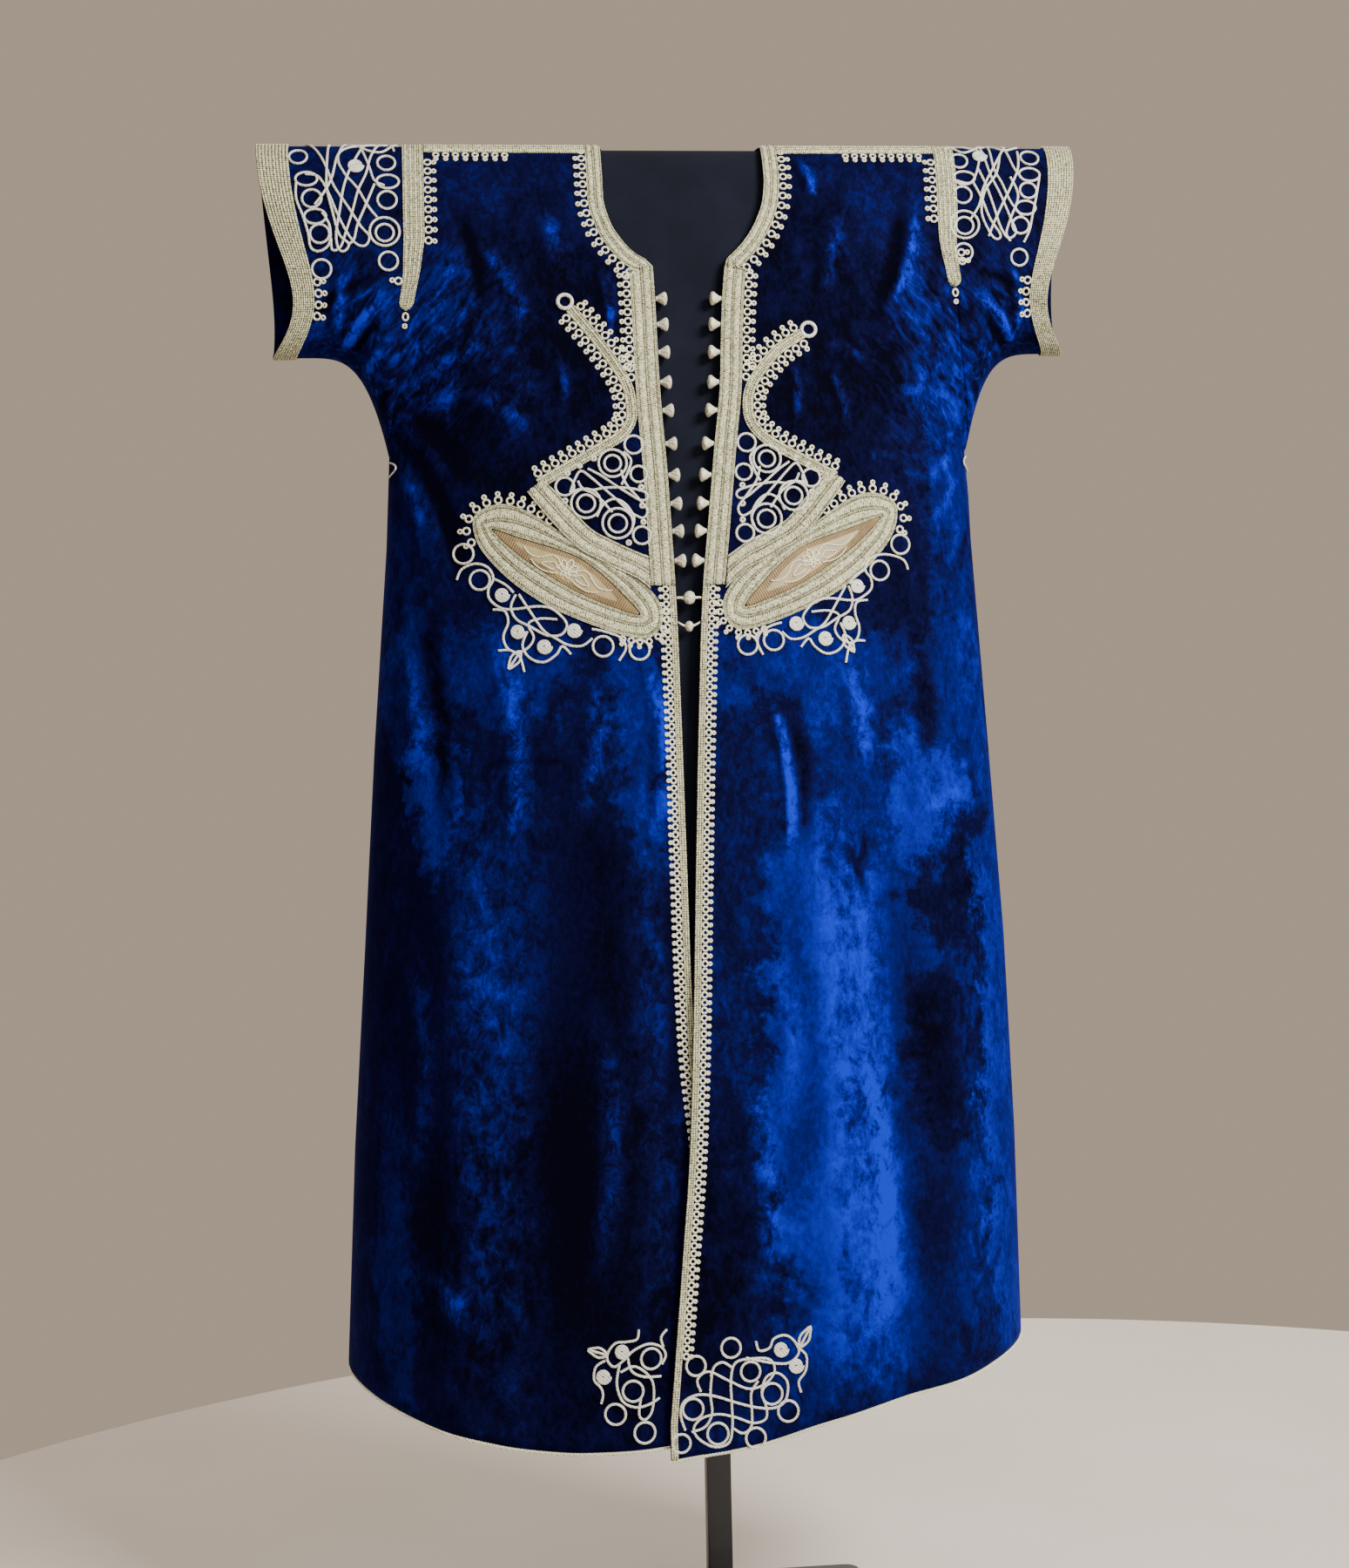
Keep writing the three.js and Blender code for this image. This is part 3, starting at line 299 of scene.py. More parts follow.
def cloth_y(face, x, s, behind):
    """Where the cloth lies in y: the body's rounded section, and the sleeve beyond its seam."""
    middle, half = body_middle(s), body_half(s)
    off = x - middle
    share = np.clip(np.abs(off) / half, 0, 1)
    seam = middle + np.where(off < 0, -1, 1) * half
    at_seam = np.where(s < UNDERARM_DROP, sleeve_depth(seam, s), 0)
    t = np.clip((s - EASE_FROM) / EASE_LENGTH, 0, 1)
    eased = EASE_DEPTH * (1 + 2 * t) * (1 - t) ** 2 - EASE_FALL * t * (1 - t) ** 2
    inner = np.where(s < EASE_FROM, at_seam, eased)
    at_seam = inner + (at_seam - inner) * smooth((share - 0.85) / 0.15)
    power = 1 + (1 / BODY_SQUARENESS - 1) * smooth((s - 230) / 130)
    round_ = (1 - share**BODY_SQUARENESS) ** power
    body = at_seam + (hanging_depth(s) - at_seam) * round_ + folds(face, x, s) * (1 - share**6)
    reach = np.abs(x - SLEEVE_MIDDLE)
    low = underarm_drop(reach)
    limp = smooth(s / 40) * smooth((low - s) / 30) * smooth((reach - 272) / 12)
    arm = sleeve_depth(x, s) + sleeve_folds(x, s) * limp
    y = face * np.where(np.abs(off) <= half, body, arm) * (BACK_SHARE if face == BACK else 1)
    if behind:
        y = y + OVERLAP_SETBACK * smooth((s - OVERLAP_FROM) / OVERLAP_LENGTH) * smooth((x + 150) / 130)
    return y


def crease_light_and_shade(face, x, s):
    """How high a place stands on its crease, in millimetres, and how the folds slope there, for painted light
    and shade: ridges lighter, troughs darker, and each fold lighter on its side towards +x, where the key
    light stands.
    """
    share = np.clip(np.abs(x - body_middle(s)) / body_half(s), 0, 1)
    low = underarm_drop(np.abs(x - SLEEVE_MIDDLE))

    def height(x, tables):
        body = sum(ridge(x, s, *row[1:]) for table in tables for row in table if row[0] == face)
        return np.where(share < 1, body * (1 - share**6), sleeve_folds(x, s) * smooth((low - s) / 30))

    every = (BROAD_FOLDS, CREASES)
    return np.stack([height(x, (CREASES,)), (height(x + 1, every) - height(x - 1, every)) / 2], -1)


def on_cloth(x, s, lift=0.0, face=None, behind=False):
    """Points over places (x, s) of the cloth, `lift` out from it. Without a face, s < 0 is the back."""
    x, s, lift = np.broadcast_arrays(np.asarray(x, float), np.asarray(s, float), np.asarray(lift, float))
    x, s, lift = x.ravel(), s.ravel(), lift.ravel()
    result = np.empty((len(x), 3))
    for f in (FRONT, BACK):
        pick = (s < 0) == (f == BACK) if face is None else np.full(len(x), f == face)
        if not pick.any():
            continue
        px, root = x[pick], np.sqrt(np.abs(s[pick]))

        def point(px, root):
            drop = root * root
            return np.stack([px, cloth_y(f, px, drop, behind), -drop], 1)

        here = point(px, root)
        across = point(px + 0.4, root) - point(px - 0.4, root)
        down = point(px, root + 0.06) - point(px, np.maximum(root - 0.06, 0))
        normal = np.cross(across, down) * f
        normal /= np.linalg.norm(normal, axis=1)[:, None]
        result[pick] = here + normal * lift[pick, None]
    result[:, 2] += SHOULDER_HEIGHT
    return result


# Distance over the cloth from the shoulder line, for each signed root of the drop.
FOLD_ROOTS = np.linspace(-37, 37, 7401)
FOLD_STEPS = np.hypot(5, 2 * FOLD_ROOTS) * (FOLD_ROOTS[1] - FOLD_ROOTS[0])
FOLD_REACH = np.cumsum(FOLD_STEPS) - np.cumsum(FOLD_STEPS)[len(FOLD_ROOTS) // 2]


def flat(places):
    """Places (x, s) with s turned into the distance over the cloth from the shoulder line."""
    places = np.asarray(places, float)
    return np.stack([places[..., 0], np.interp(signed_root(places[..., 1]), FOLD_ROOTS, FOLD_REACH)], -1)


def unflat(places):
    q = np.interp(places[..., 1], FOLD_REACH, FOLD_ROOTS)
    return np.stack([places[..., 0], q * np.abs(q)], -1)


def signed_root(s):
    return np.sign(s) * np.sqrt(np.abs(s))


# ---- making meshes
def piece_from(name, mesh_or_bm, material):
    """An object at the origin, riding on the root body."""
    if isinstance(mesh_or_bm, bmesh.types.BMesh):
        mesh = bpy.data.meshes.new(name)
        mesh_or_bm.to_mesh(mesh)
        mesh_or_bm.free()
    else:
        mesh = mesh_or_bm
    mesh.polygons.foreach_set("use_smooth", [True] * len(mesh.polygons))
    mesh.materials.clear()
    mesh.materials.append(material)
    obj = bpy.data.objects.new(name, mesh)
    bpy.context.scene.collection.objects.link(obj)
    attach(obj, "root")
    return obj


def grid_mesh(points, uv=None, wrap=False):
    """A bmesh grid laid over an array of points (rows, columns, 3), in millimetres."""
    rows, columns = points.shape[:2]
    bm = bmesh.new()
    bmesh.ops.create_grid(bm, x_segments=columns - 1, y_segments=rows - 1, size=1)
    bm.verts.ensure_lookup_table()
    order = sorted(bm.verts, key=lambda v: (round(v.co.y, 5), round(v.co.x, 5)))
    spots = points.reshape(-1, 3) * MM
    place = {}
    for k, v in enumerate(order):
        place[v] = k
        v.co = spots[k]
    if uv is not None:
        layer = bm.loops.layers.uv.new("UVMap")
        uv = uv.reshape(-1, 2)
        for face in bm.faces:
            for loop in face.loops:
                loop[layer].uv = uv[place[loop.vert]]
    if wrap:
        bmesh.ops.remove_doubles(bm, verts=bm.verts, dist=1e-6)
    return bm


def face_out(bm, towards):
    """Turns an open sheet over if most of it doesn't face `towards`."""
    bm.normal_update()
    if sum(f.normal.dot(towards) * f.calc_area() for f in bm.faces) < 0:
        bmesh.ops.reverse_faces(bm, faces=bm.faces)


def shell(bm, thickness):
    bm.normal_update()
    bmesh.ops.solidify(bm, geom=bm.faces, thickness=thickness * MM)


# ---- finishes
def colour(r, g, b):
    """A colour from its 0 to 255 values on a screen."""
    return tuple(((c / 255 + 0.055) / 1.055) ** 2.4 if c > 10 else c / 255 / 12.92 for c in (r, g, b)) + (1,)


class Wire:
    """A number on a socket. Arithmetic on it adds Math nodes."""

    def __init__(self, finish, socket):
        self.finish, self.socket = finish, socket

    def math(self, operation, *values):
        return self.finish.node("ShaderNodeMath", {"operation": operation}, *values)

    def __add__(self, other):
        return self.math("ADD", self, other)

    def __sub__(self, other):
        return self.math("SUBTRACT", self, other)

    def __rsub__(self, other):
        return self.math("SUBTRACT", other, self)

    def __mul__(self, other):
        return self.math("MULTIPLY", self, other)

    __radd__, __rmul__ = __add__, __mul__

    def sine(self):
        return self.math("SINE", self)

    def size(self):
        return self.math("ABSOLUTE", self)


class Finish:
    """A material around one Principled shader."""

    def __init__(self, name, **constants):
        self.material = bpy.data.materials.new(name)
        self.material.use_nodes = True
        self.tree = self.material.node_tree
        self.shader = self.tree.nodes["Principled BSDF"]
        for socket, value in constants.items():
            self.shader.inputs[socket.replace("_", " ")].default_value = value

    def node(self, kind, settings, *values, out=0, **named):
        made = self.tree.nodes.new(kind)
        for key, value in settings.items():
            if key == "stops":
                ramp = made.color_ramp
                while len(ramp.elements) < len(value):
                    ramp.elements.new(0.5)
                for element, (position, shade) in zip(ramp.elements, value):
                    element.position, element.color = position, shade
            else:
                setattr(made, key, value)
        pairs = list(enumerate(values)) + [(k.replace("_", " "), v) for k, v in named.items()]
        for key, value in pairs:
            if isinstance(value, Wire):
                self.tree.links.new(value.socket, made.inputs[key])
            elif value is not None:
                made.inputs[key].default_value = value
        return Wire(self, made.outputs[out])

    def place(self, scale=(1, 1, 1)):
        spot = self.node("ShaderNodeTexCoord", {}, out="Object")
        return self.node("ShaderNodeMapping", {}, Vector=spot, Scale=scale)

    def along(self):
        return self.node("ShaderNodeUVMap", {"uv_map": "UVMap"})

    def noise(self, spot, scale, detail=2.0, rough=0.5, distort=0.0, out=0):
        grain = {"Scale": scale, "Detail": detail, "Roughness": rough, "Distortion": distort}
        return self.node("ShaderNodeTexNoise", {}, Vector=spot, out=out, **grain)

    def vector(self, operation, *values, out=0):
        return self.node("ShaderNodeVectorMath", {"operation": operation}, *values, out=out)

    def ramp(self, value, stops):
        return self.node("ShaderNodeValToRGB", {"stops": stops}, value)

    def spread(self, value, low, high, new_low=0.0, new_high=1.0):
        return self.node("ShaderNodeMapRange", {}, value, low, high, new_low, new_high)

    def blend(self, factor, a, b):
        made = self.tree.nodes.new("ShaderNodeMix")
        made.data_type = "RGBA"
        for socket, value in ((made.inputs[0], factor), (made.inputs[6], a), (made.inputs[7], b)):
            if isinstance(value, Wire):
                self.tree.links.new(value.socket, socket)
            else:
                socket.default_value = value
        return Wire(self, made.outputs[2])

    def parts(self, vector):
        split = self.tree.nodes.new("ShaderNodeSeparateXYZ")
        self.tree.links.new(vector.socket, split.inputs[0])
        return [Wire(self, split.outputs[i]) for i in range(3)]

    def feed(self, **wires):
        for socket, wire in wires.items():
            self.tree.links.new(wire.socket, self.shader.inputs[socket.replace("_", " ")])

    def bump(self, height, strength, distance):
        return self.node("ShaderNodeBump", {}, Height=height, Strength=strength, Distance=distance)


PATCH_WANDER = np.array([0.16, 0.0, 0.24])  # how far the patches' edges wander, in metres
WRINKLE_MIDDLE = (0.28, 0.05, 1.31)


def velvet_finish():
    """Crushed pile: broad patches with ragged edges, a mottle within them and fine flecks. Painted light and
    shade lie on top: on the creases and folds, on fine wrinkles by the armholes, and in the broad patches,
    which are partly painted light.
    """
    f = Finish("crushed_velvet", Sheen_Weight=0.1, Sheen_Roughness=0.4)
    f.shader.inputs["Sheen Tint"].default_value = colour(34, 70, 235)
    f.shader.inputs["Specular IOR Level"].default_value = 0.02
    spot = f.place()
    ragged = f.noise(spot, 20.0, 9.0, 0.74, out="Color")
    moved = f.vector("MULTIPLY_ADD", ragged, tuple(PATCH_WANDER), spot)
    cloud = f.noise(f.place(scale=(1.2, 1, 0.6)), 9.0, 5.0, 0.6, 0.4)
    mottle = f.noise(f.place(scale=(1, 1, 0.7)), 60.0, 6.0, 0.78, 0.4)
    fleck = f.noise(f.place(scale=(1, 1, 0.6)), 210.0, 3.0, 0.7)
    height, slope, _ = f.parts(f.along())
    # Painted light and shade on the creases: ridges lighter, troughs darker, and folds lighter on the side
    # towards the key light.
    painted_crease_light = (height * 0.16 - slope) * f.spread(mottle, 0.38, 0.62, 0.15, 1.65)
    pile_tone_and_light = cloud * 0.5 + mottle * 0.85 + fleck * 0.45 - 0.68 + painted_crease_light
    # Painted light and shade of fine slanted wrinkles by the armholes, alike on both sides.
    folded = f.vector("ABSOLUTE", spot)
    turned = f.node("ShaderNodeMapping", {}, Vector=folded, Rotation=(0, 0.7, 0))
    stretched = f.node("ShaderNodeMapping", {}, Vector=turned, Scale=(1, 1, 0.26))
    painted_wrinkle_shading = f.noise(stretched, 115.0, 4.0, 0.62, 0.9)
    from_arm = f.vector("DISTANCE", folded, WRINKLE_MIDDLE, out="Value")
    pile_tone_and_light = pile_tone_and_light + (painted_wrinkle_shading - 0.51) * f.spread(from_arm, 0.15, 0.06, 0.0, 1.7)
    # Patches of crushed pile, partly painted light and shade.
    for x, s, half_width, half_length, rise in PILE_AND_LIGHT_PATCHES:
        y = cloth_y(FRONT if s > 0 else BACK, *np.array([[x], [abs(s)]], float), False)[0]
        scale = np.array([1 / (half_width * MM), 8.0, 1 / (half_length * MM)])
        middle = np.array([x, y, SHOULDER_HEIGHT - abs(s)]) * MM + PATCH_WANDER / 2
        across = f.vector("MULTIPLY_ADD", moved, scale, -middle * scale)
        away = f.vector("LENGTH", across, out="Value")
        pile_tone_and_light = pile_tone_and_light + f.spread(away, 1.12, 0.72, 0.0, rise)
    tone = f.ramp(
        pile_tone_and_light,
        [
            (0.0, colour(2, 2, 14)),
            (0.25, colour(6, 6, 44)),
            (0.5, colour(8, 14, 88)),
            (0.75, colour(10, 28, 140)),
            (1.0, colour(12, 38, 176)),
        ],
    )
    crush = f.bump(mottle * 0.6 + cloud * 0.8, 0.4, 0.004)
    pile = f.node("ShaderNodeBump", {}, Height=fleck, Strength=0.25, Distance=0.0008, Normal=crush)
    f.feed(Base_Color=tone, Normal=pile, Roughness=f.spread(pile_tone_and_light, 0.1, 1.0, 0.8, 0.5))
    return f.material


def braid_finish(name, slant, light, shade):
    """Metal-wrapped thread stitched in a herringbone on each rib of a band. v counts the ribs. The stitches'
    relief is painted into the colour with painted highlights, and each rib darkens towards its edges as
    painted shade in the grooves.
    """
    f = Finish(name, Metallic=0.1)
    f.shader.inputs["Specular IOR Level"].default_value = 0.6
    u, v, _ = f.parts(f.along())
    from_middle = (v.math("FRACT", v) - 0.5).size()
    stitch = (u * 2700.0 + from_middle * slant).sine()
    patch = f.noise(f.place(), 70.0, 3.0, 0.6)
    speck = f.noise(f.place(), 440.0, 3.0, 0.8)
    relief = stitch * 0.24 + f.spread(speck, 0.36, 0.66) * 0.8
    # Painted shade: each rib darker towards its edges, where the grooves are.
    rib = f.spread(from_middle, 0.5, 0.26, 0.2, 1.0)
    painted_glint_and_shade = (relief + patch * 0.4) * rib
    f.feed(
        Base_Color=f.ramp(painted_glint_and_shade, [(0.1, shade), (0.55, light), (0.95, colour(255, 254, 216))]),
        Roughness=f.spread(speck, 0.3, 0.7, 0.34, 0.55),
        Normal=f.bump(relief, 0.8, 0.0014),
    )
    return f.material


def cord_finish(name, light, shade):
    f = Finish(name, Metallic=0.2, Roughness=0.5)
    lay = f.node(
        "ShaderNodeTexWave",
        {"wave_type": "BANDS", "bands_direction": "DIAGONAL"},
        Vector=f.place(),
        Scale=170.0,
        Distortion=2.0,
        Detail=1.0,
        out="Fac",
    )
    speck = f.noise(f.place(), 800.0, 2.0)
    # The lay's relief also goes into the colour: painted shade between the strands and painted highlights on
    # them.
    relief = lay * 0.6 + speck * 0.5
    f.feed(
        Base_Color=f.ramp(relief, [(0.1, shade), (0.6, light), (1.0, colour(232, 232, 222))]),
        Normal=f.bump(relief, 0.5, 0.0006),
    )
    return f.material


def satin_finish():
    """Satin with a ribbed rim. v runs from 0 in the middle of the piece to 1 at its outline."""
    f = Finish("ribbed_satin", Sheen_Weight=0.2)
    u, v, _ = f.parts(f.along())
    rim = f.spread(v, 0.66, 0.7)
    rib = (u * 2600.0).sine() * rim
    cloud = f.noise(f.place(), 90.0, 3.0)
    rim_tones = [(0.25, colour(88, 70, 40)), (0.6, colour(136, 112, 70)), (0.9, colour(166, 142, 94))]
    tone = f.ramp(cloud * 0.6 + rib * 0.14 + 0.2, rim_tones)
    middle = f.ramp(cloud, [(0.25, colour(140, 124, 84)), (0.75, colour(170, 152, 108))])
    f.feed(
        Base_Color=f.blend(rim, middle, tone),
        Roughness=f.spread(cloud, 0.2, 0.8, 0.4, 0.58),
        Normal=f.bump(rib, 0.5, 0.0008),
    )
    return f.material


def jersey_finish():
    f = Finish("navy_jersey", Sheen_Weight=0.05)
    f.shader.inputs["Specular IOR Level"].default_value = 0.1
    x, _, z = f.parts(f.place())
    knit = (x * 3400.0).sine().size() * 0.6 + (z * 4200.0 + (x * 3400.0).sine() * 0.8).sine() * 0.4
    cloud = f.noise(f.place(), 14.0, 3.0)
    f.feed(
        Base_Color=f.ramp(cloud + knit * 0.08, [(0.3, colour(9, 12, 22)), (0.75, colour(15, 19, 33))]),
        Roughness=f.spread(cloud, 0.2, 0.8, 0.9, 0.78),
        Normal=f.bump(knit, 0.3, 0.0004),
    )
    return f.material


def paint_finish():
    f = Finish("black_paint", Metallic=0.0, Coat_Weight=0.15)
    grain = f.noise(f.place(), 260.0, 3.0)
    wear = f.noise(f.place(), 12.0, 4.0, 0.7)
    f.feed(
        Base_Color=f.ramp(wear, [(0.3, colour(15, 14, 19)), (0.8, colour(30, 29, 34))]),
        Roughness=f.spread(wear, 0.3, 0.7, 0.36, 0.52),
        Normal=f.bump(grain, 0.12, 0.0003),
    )
    return f.material


VELVET = velvet_finish()
BRAID = braid_finish("couched_braid", 14.0, colour(206, 205, 162), colour(58, 54, 30))
NARROW_BRAID = braid_finish("narrow_braid", 5.0, colour(206, 205, 164), colour(62, 58, 34))
CORD = cord_finish("white_cord", colour(218, 219, 208), colour(142, 142, 130))
GOLD_CORD = cord_finish("gilt_cord", colour(232, 230, 198), colour(150, 146, 108))
KNOT_THREAD = cord_finish("knot_thread", colour(226, 222, 196), colour(140, 134, 102))
SATIN = satin_finish()
JERSEY = jersey_finish()
PAINT = paint_finish()


# ---- velvet panels
def row_drop(nominal, hem):
    low = UNDERARM_DROP + (nominal - UNDERARM_DROP) * (hem - UNDERARM_DROP) / (BODY_LENGTH - UNDERARM_DROP)
    return np.where(nominal <= UNDERARM_DROP, nominal, low)


def drops(count):
    """Nominal drops down a panel, close together over the shoulder fold."""
    return BODY_LENGTH * (np.linspace(0, 1, count) ** 1.6)[:, None]


def velvet_panel(node, x, s, face, behind=False):
    s = s + 0 * x
    # The UV map carries crease heights and slopes, which paint light and shade into the velvet's colour.
    bm = grid_mesh(on_cloth(x, s, 0.0, face, behind).reshape(x.shape + (3,)), crease_light_and_shade(face, x, s))
    face_out(bm, Vector((0, face, 0)))
    shell(bm, VELVET_WALL)
    return stands_for(piece_from(node + "_velvet", bm, VELVET), node)


def front_panel(side):
    nominal = drops(256)
    out = np.sin(np.linspace(0, math.pi / 2, 100))[None, :]
    s = row_drop(nominal, hem_drop(side, out))
    seam = body_middle(s) + side * body_half(s)
    x = front_edge(side, s) + (seam - front_edge(side, s)) * out
    return velvet_panel("front_" + SIDE_NAMES[side], x, s, FRONT, side == LEFT)


def back_panel():
    out = np.sin(np.linspace(0, math.pi / 2, 52))
    across = np.concatenate([-np.ones(51), np.linspace(-1, 1, 37), np.ones(51)])[None, :]
    share = np.concatenate([out[:0:-1], np.zeros(37), out[1:]])[None, :]
    side = np.where(across < 0, LEFT, RIGHT)
    hem_side = np.where(side == LEFT, HEM[LEFT][1][-1], HEM[RIGHT][1][-1])
    hem = BACK_HEM_MIDDLE + (hem_side - BACK_HEM_MIDDLE) * share**2
    dip = BACK_NECK_DROP * (1 - across**2)
    s = dip + row_drop(drops(170), hem) * (1 - dip / hem)
    neck_x = NECK_HALF * across + body_middle(s) * (1 - share)
    seam = body_middle(s) + side * body_half(s)
    return velvet_panel("back", neck_x + (seam - neck_x) * share, s, BACK)


def cuff_edge(side, face, share):
    bow = np.where(face == FRONT, 26.0, 3.0) * np.sin(math.pi * share**2.3)
    return SLEEVE_MIDDLE + side * (CUFF_TOP[side] + (CUFF_BOTTOM[side] - CUFF_TOP[side]) * share - bow)


def sleeve_places(side, alongs, shares, face):
    """Places (x, s) on one face of a sleeve, `along` it from the armhole and a share down its ring."""
    along, share = np.meshgrid(alongs, shares, indexing="ij")
    nominal = share * UNDERARM_DROP
    seam = body_middle(nominal) + side * (body_half(nominal) + SEAM_GAP)
    x = seam + (cuff_edge(side, face, share) - seam) * along
    low = UNDERARM_X + (CUFF_BOTTOM[side] - UNDERARM_X) * along
    return x, share * underarm_drop(low)


def sleeve_rings(side, alongs, count, lift=0.0):
    """Closed rings round a sleeve, down the front, then up the back, and the crease heights and slopes there
    that paint light and shade into the velvet.
    """
    shares = np.sin(np.linspace(0, math.pi / 2, count)) ** 2
    rings = []
    for face in (FRONT, BACK):
        places = sleeve_places(side, alongs, shares, face)
        points = on_cloth(*places, lift, face).reshape(len(alongs), count, 3)
        rings.append(np.concatenate([points, crease_light_and_shade(face, *places)], -1))
    front, back = rings
    low = (front[:, -1:] + back[:, -1:]) / 2
    top = (front[:, :1] + back[:, :1]) / 2
    rings = np.concatenate([top, front[:, 1:-1], low, back[:, -2:0:-1], top], 1)
    return rings[..., :3], rings[..., 3:]


def outward_round_sleeve(bm):
    """Turns a sleeve's sheet so that it faces away from the middle of the sleeve."""
    bm.normal_update()
    middle = Vector((0, 0, (SHOULDER_HEIGHT - 110) * MM))
    across = Vector((0, 1, 1))
    facing = sum(f.normal.dot((f.calc_center_median() - middle) * across) * f.calc_area() for f in bm.faces)
    if facing < 0:
        bmesh.ops.reverse_faces(bm, faces=bm.faces)


def sleeve(side):
    bm = grid_mesh(*sleeve_rings(side, np.linspace(0, 1, 46), 80), wrap=True)
    outward_round_sleeve(bm)
    shell(bm, VELVET_WALL)
    node = "sleeve_" + SIDE_NAMES[side]
    return stands_for(piece_from(node + "_velvet", bm, VELVET), node)


# ---- braid bands
# Ribs across a band: width and height of each.
THIN = (1.5, 1.0)
NECK_RIBS = [THIN, (5.6, 1.6), THIN, (5.6, 1.6), THIN]
PLACKET_RIBS = [THIN, THIN, (8.2, 1.6), THIN, (8.2, 1.6), THIN, THIN]
BORDER_RIBS = [(2.3, 1.4)] * 3
SHOULDER_RIBS = [(3.6, 1.5), THIN, (3.6, 1.5), THIN, (3.6, 1.5), THIN, (3.6, 1.5)]
ARMHOLE_RIBS = [THIN, (3.4, 1.4), THIN, (3.4, 1.4), THIN, (3.4, 1.4), THIN, (3.4, 1.4), THIN]
CUFF_RIBS = [(3.0, 1.5)] * 9 + [(2.0, 1.6)]
LEAF_RIBS = [THIN, THIN, (9.0, 1.7), THIN, (8.0, 1.6), THIN, THIN]
STRAP_RIBS = [THIN, (6.6, 1.6), THIN, (6.6, 1.6), THIN]
BRANCH_RIBS = [(1.8, 1.2), (3.6, 1.7), (1.8, 1.2), (3.6, 1.7)]
GROOVE = 0.9


def rib_profile(ribs):
    """Shares of a band's width, heights above the cloth and rib counts, from one edge to the other."""
    places, heights, counts, start = [], [], [], 0.0
    for k, (width, height) in enumerate(ribs):
        steps = 4 if width < 3 else 6 if width < 5 else 8
        for t in np.arange(0 if k == 0 else 1, steps + 1) / steps:
            places.append(start + width * t)
            heights.append(GROOVE + height * math.sin(math.pi * t) ** 0.6)
            counts.append(k + t)
        start += width
    return np.array(places) / start, np.array(heights), np.array(counts)


def run_length(points):
    """The distance in metres to each point of a line, or to each row of a grid of points."""
    steps = np.linalg.norm(np.diff(points, axis=0), axis=-1)
    return np.concatenate([[0], np.cumsum(steps.mean(axis=-1) if steps.ndim > 1 else steps)]) * MM


def band(node, inner, outer, ribs, material, face=None, behind=False, wrap=False, raise_low=0.0):
    """A ribbed band between two lines of places (x, s) with as many places each."""
    share, height, count = rib_profile(ribs)
    inner, outer = flat(inner)[:, None], flat(outer)[:, None]
    places = unflat(inner + (outer - inner) * share[:, None])
    x, s = places[..., 0], places[..., 1]
    height = height + raise_low * smooth(share)
    points = on_cloth(x, s, np.broadcast_to(height, x.shape), face, behind).reshape(x.shape + (3,))
    outwards = on_cloth(x, s, height + 5, face, behind).reshape(x.shape + (3,)) - points
    uv = np.stack(np.broadcast_arrays(run_length(points)[:, None], count[None, :]), -1)
    bm = grid_mesh(points, uv, wrap)
    bm.normal_update()
    bm.verts.ensure_lookup_table()
    place = len(points) // 2, len(share) // 2
    spot = Vector(points[place] * MM)
    middle = min(bm.verts, key=lambda v: (v.co - spot).length)
    if middle.normal.dot(Vector(outwards[place])) < 0:
        bmesh.ops.reverse_faces(bm, faces=bm.faces)
    shell(bm, 0.8)
    return stands_for(piece_from(node + "_braid", bm, material), node)


def fold_steps(start, end, spacing):
    """Drops from start to end, evenly spread over the cloth also where it turns at the shoulder."""
    (_, a), (_, b) = flat([(0, start), (0, end)])
    reach = np.linspace(a, b, int(abs(b - a) / spacing) + 2)
    return unflat(np.stack([0 * reach, reach], 1))[:, 1]


NECK_BAND = 16
NECK_CORNER = 129.6
PLACKET = {LEFT: 24, RIGHT: 22}
PLACKET_END = 446
BORDER = 7


def neckline(side, s):
    """The neckline's edge and the outer edge of its band, at drops s on one front."""
    ahead, behind = front_edge(side, s + 6), front_edge(side, np.maximum(s - 6, 0))
    dx, ds = ahead - behind, np.where(s < 6, s + 6, 12)
    length = np.hypot(dx, ds)
    inner = np.stack([front_edge(side, s), s], 1)
    return inner, inner + NECK_BAND * side * np.stack([ds, -dx], 1) / length[:, None]


def neck_lines():
    fronts = {}
    for side in (LEFT, RIGHT):
        s = np.concatenate([fold_steps(0, 122, 3), [NECK_CORNER]])
        inner, outer = neckline(side, s)
        outer[-1] = inner[-1] + (side * PLACKET[side], 5)
        fronts[side] = inner, outer
    t = np.sin(np.linspace(math.pi / 2, -math.pi / 2, 56))[1:-1]
    fall = 1 - t * t
    back_inner = np.stack([NECK_HALF * t, -BACK_NECK_DROP * fall], 1)
    back_outer = np.stack([(NECK_HALF + NECK_BAND) * t, -(BACK_NECK_DROP + NECK_BAND) * fall], 1)
    return tuple(
        np.concatenate([fronts[RIGHT][k][::-1], back, fronts[LEFT][k]])
        for k, back in enumerate((back_inner, back_outer))
    )


def edge_band(node, side, start, end, width, mitre, ribs, material):
    s = np.linspace(start, end, int((end - start) / 4))
    inner = np.stack([front_edge(side, s), s], 1)
    outer = inner + (side * width, 0)
    outer[0, 1] += mitre
    return band(f"{node}_{SIDE_NAMES[side]}", inner, outer, ribs, material, FRONT, side == LEFT)


def shoulder_band(side):
    x = np.linspace(side * (NECK_HALF + NECK_BAND + 0.6), side * (268 - 11.1), 60)
    lines = [np.stack([x, np.full_like(x, s)], 1) for s in (10, -10)]
    return band("shoulder_band_" + SIDE_NAMES[side], *lines, SHOULDER_RIBS, NARROW_BRAID)


ARMHOLE_END = {LEFT: 170, RIGHT: 148}


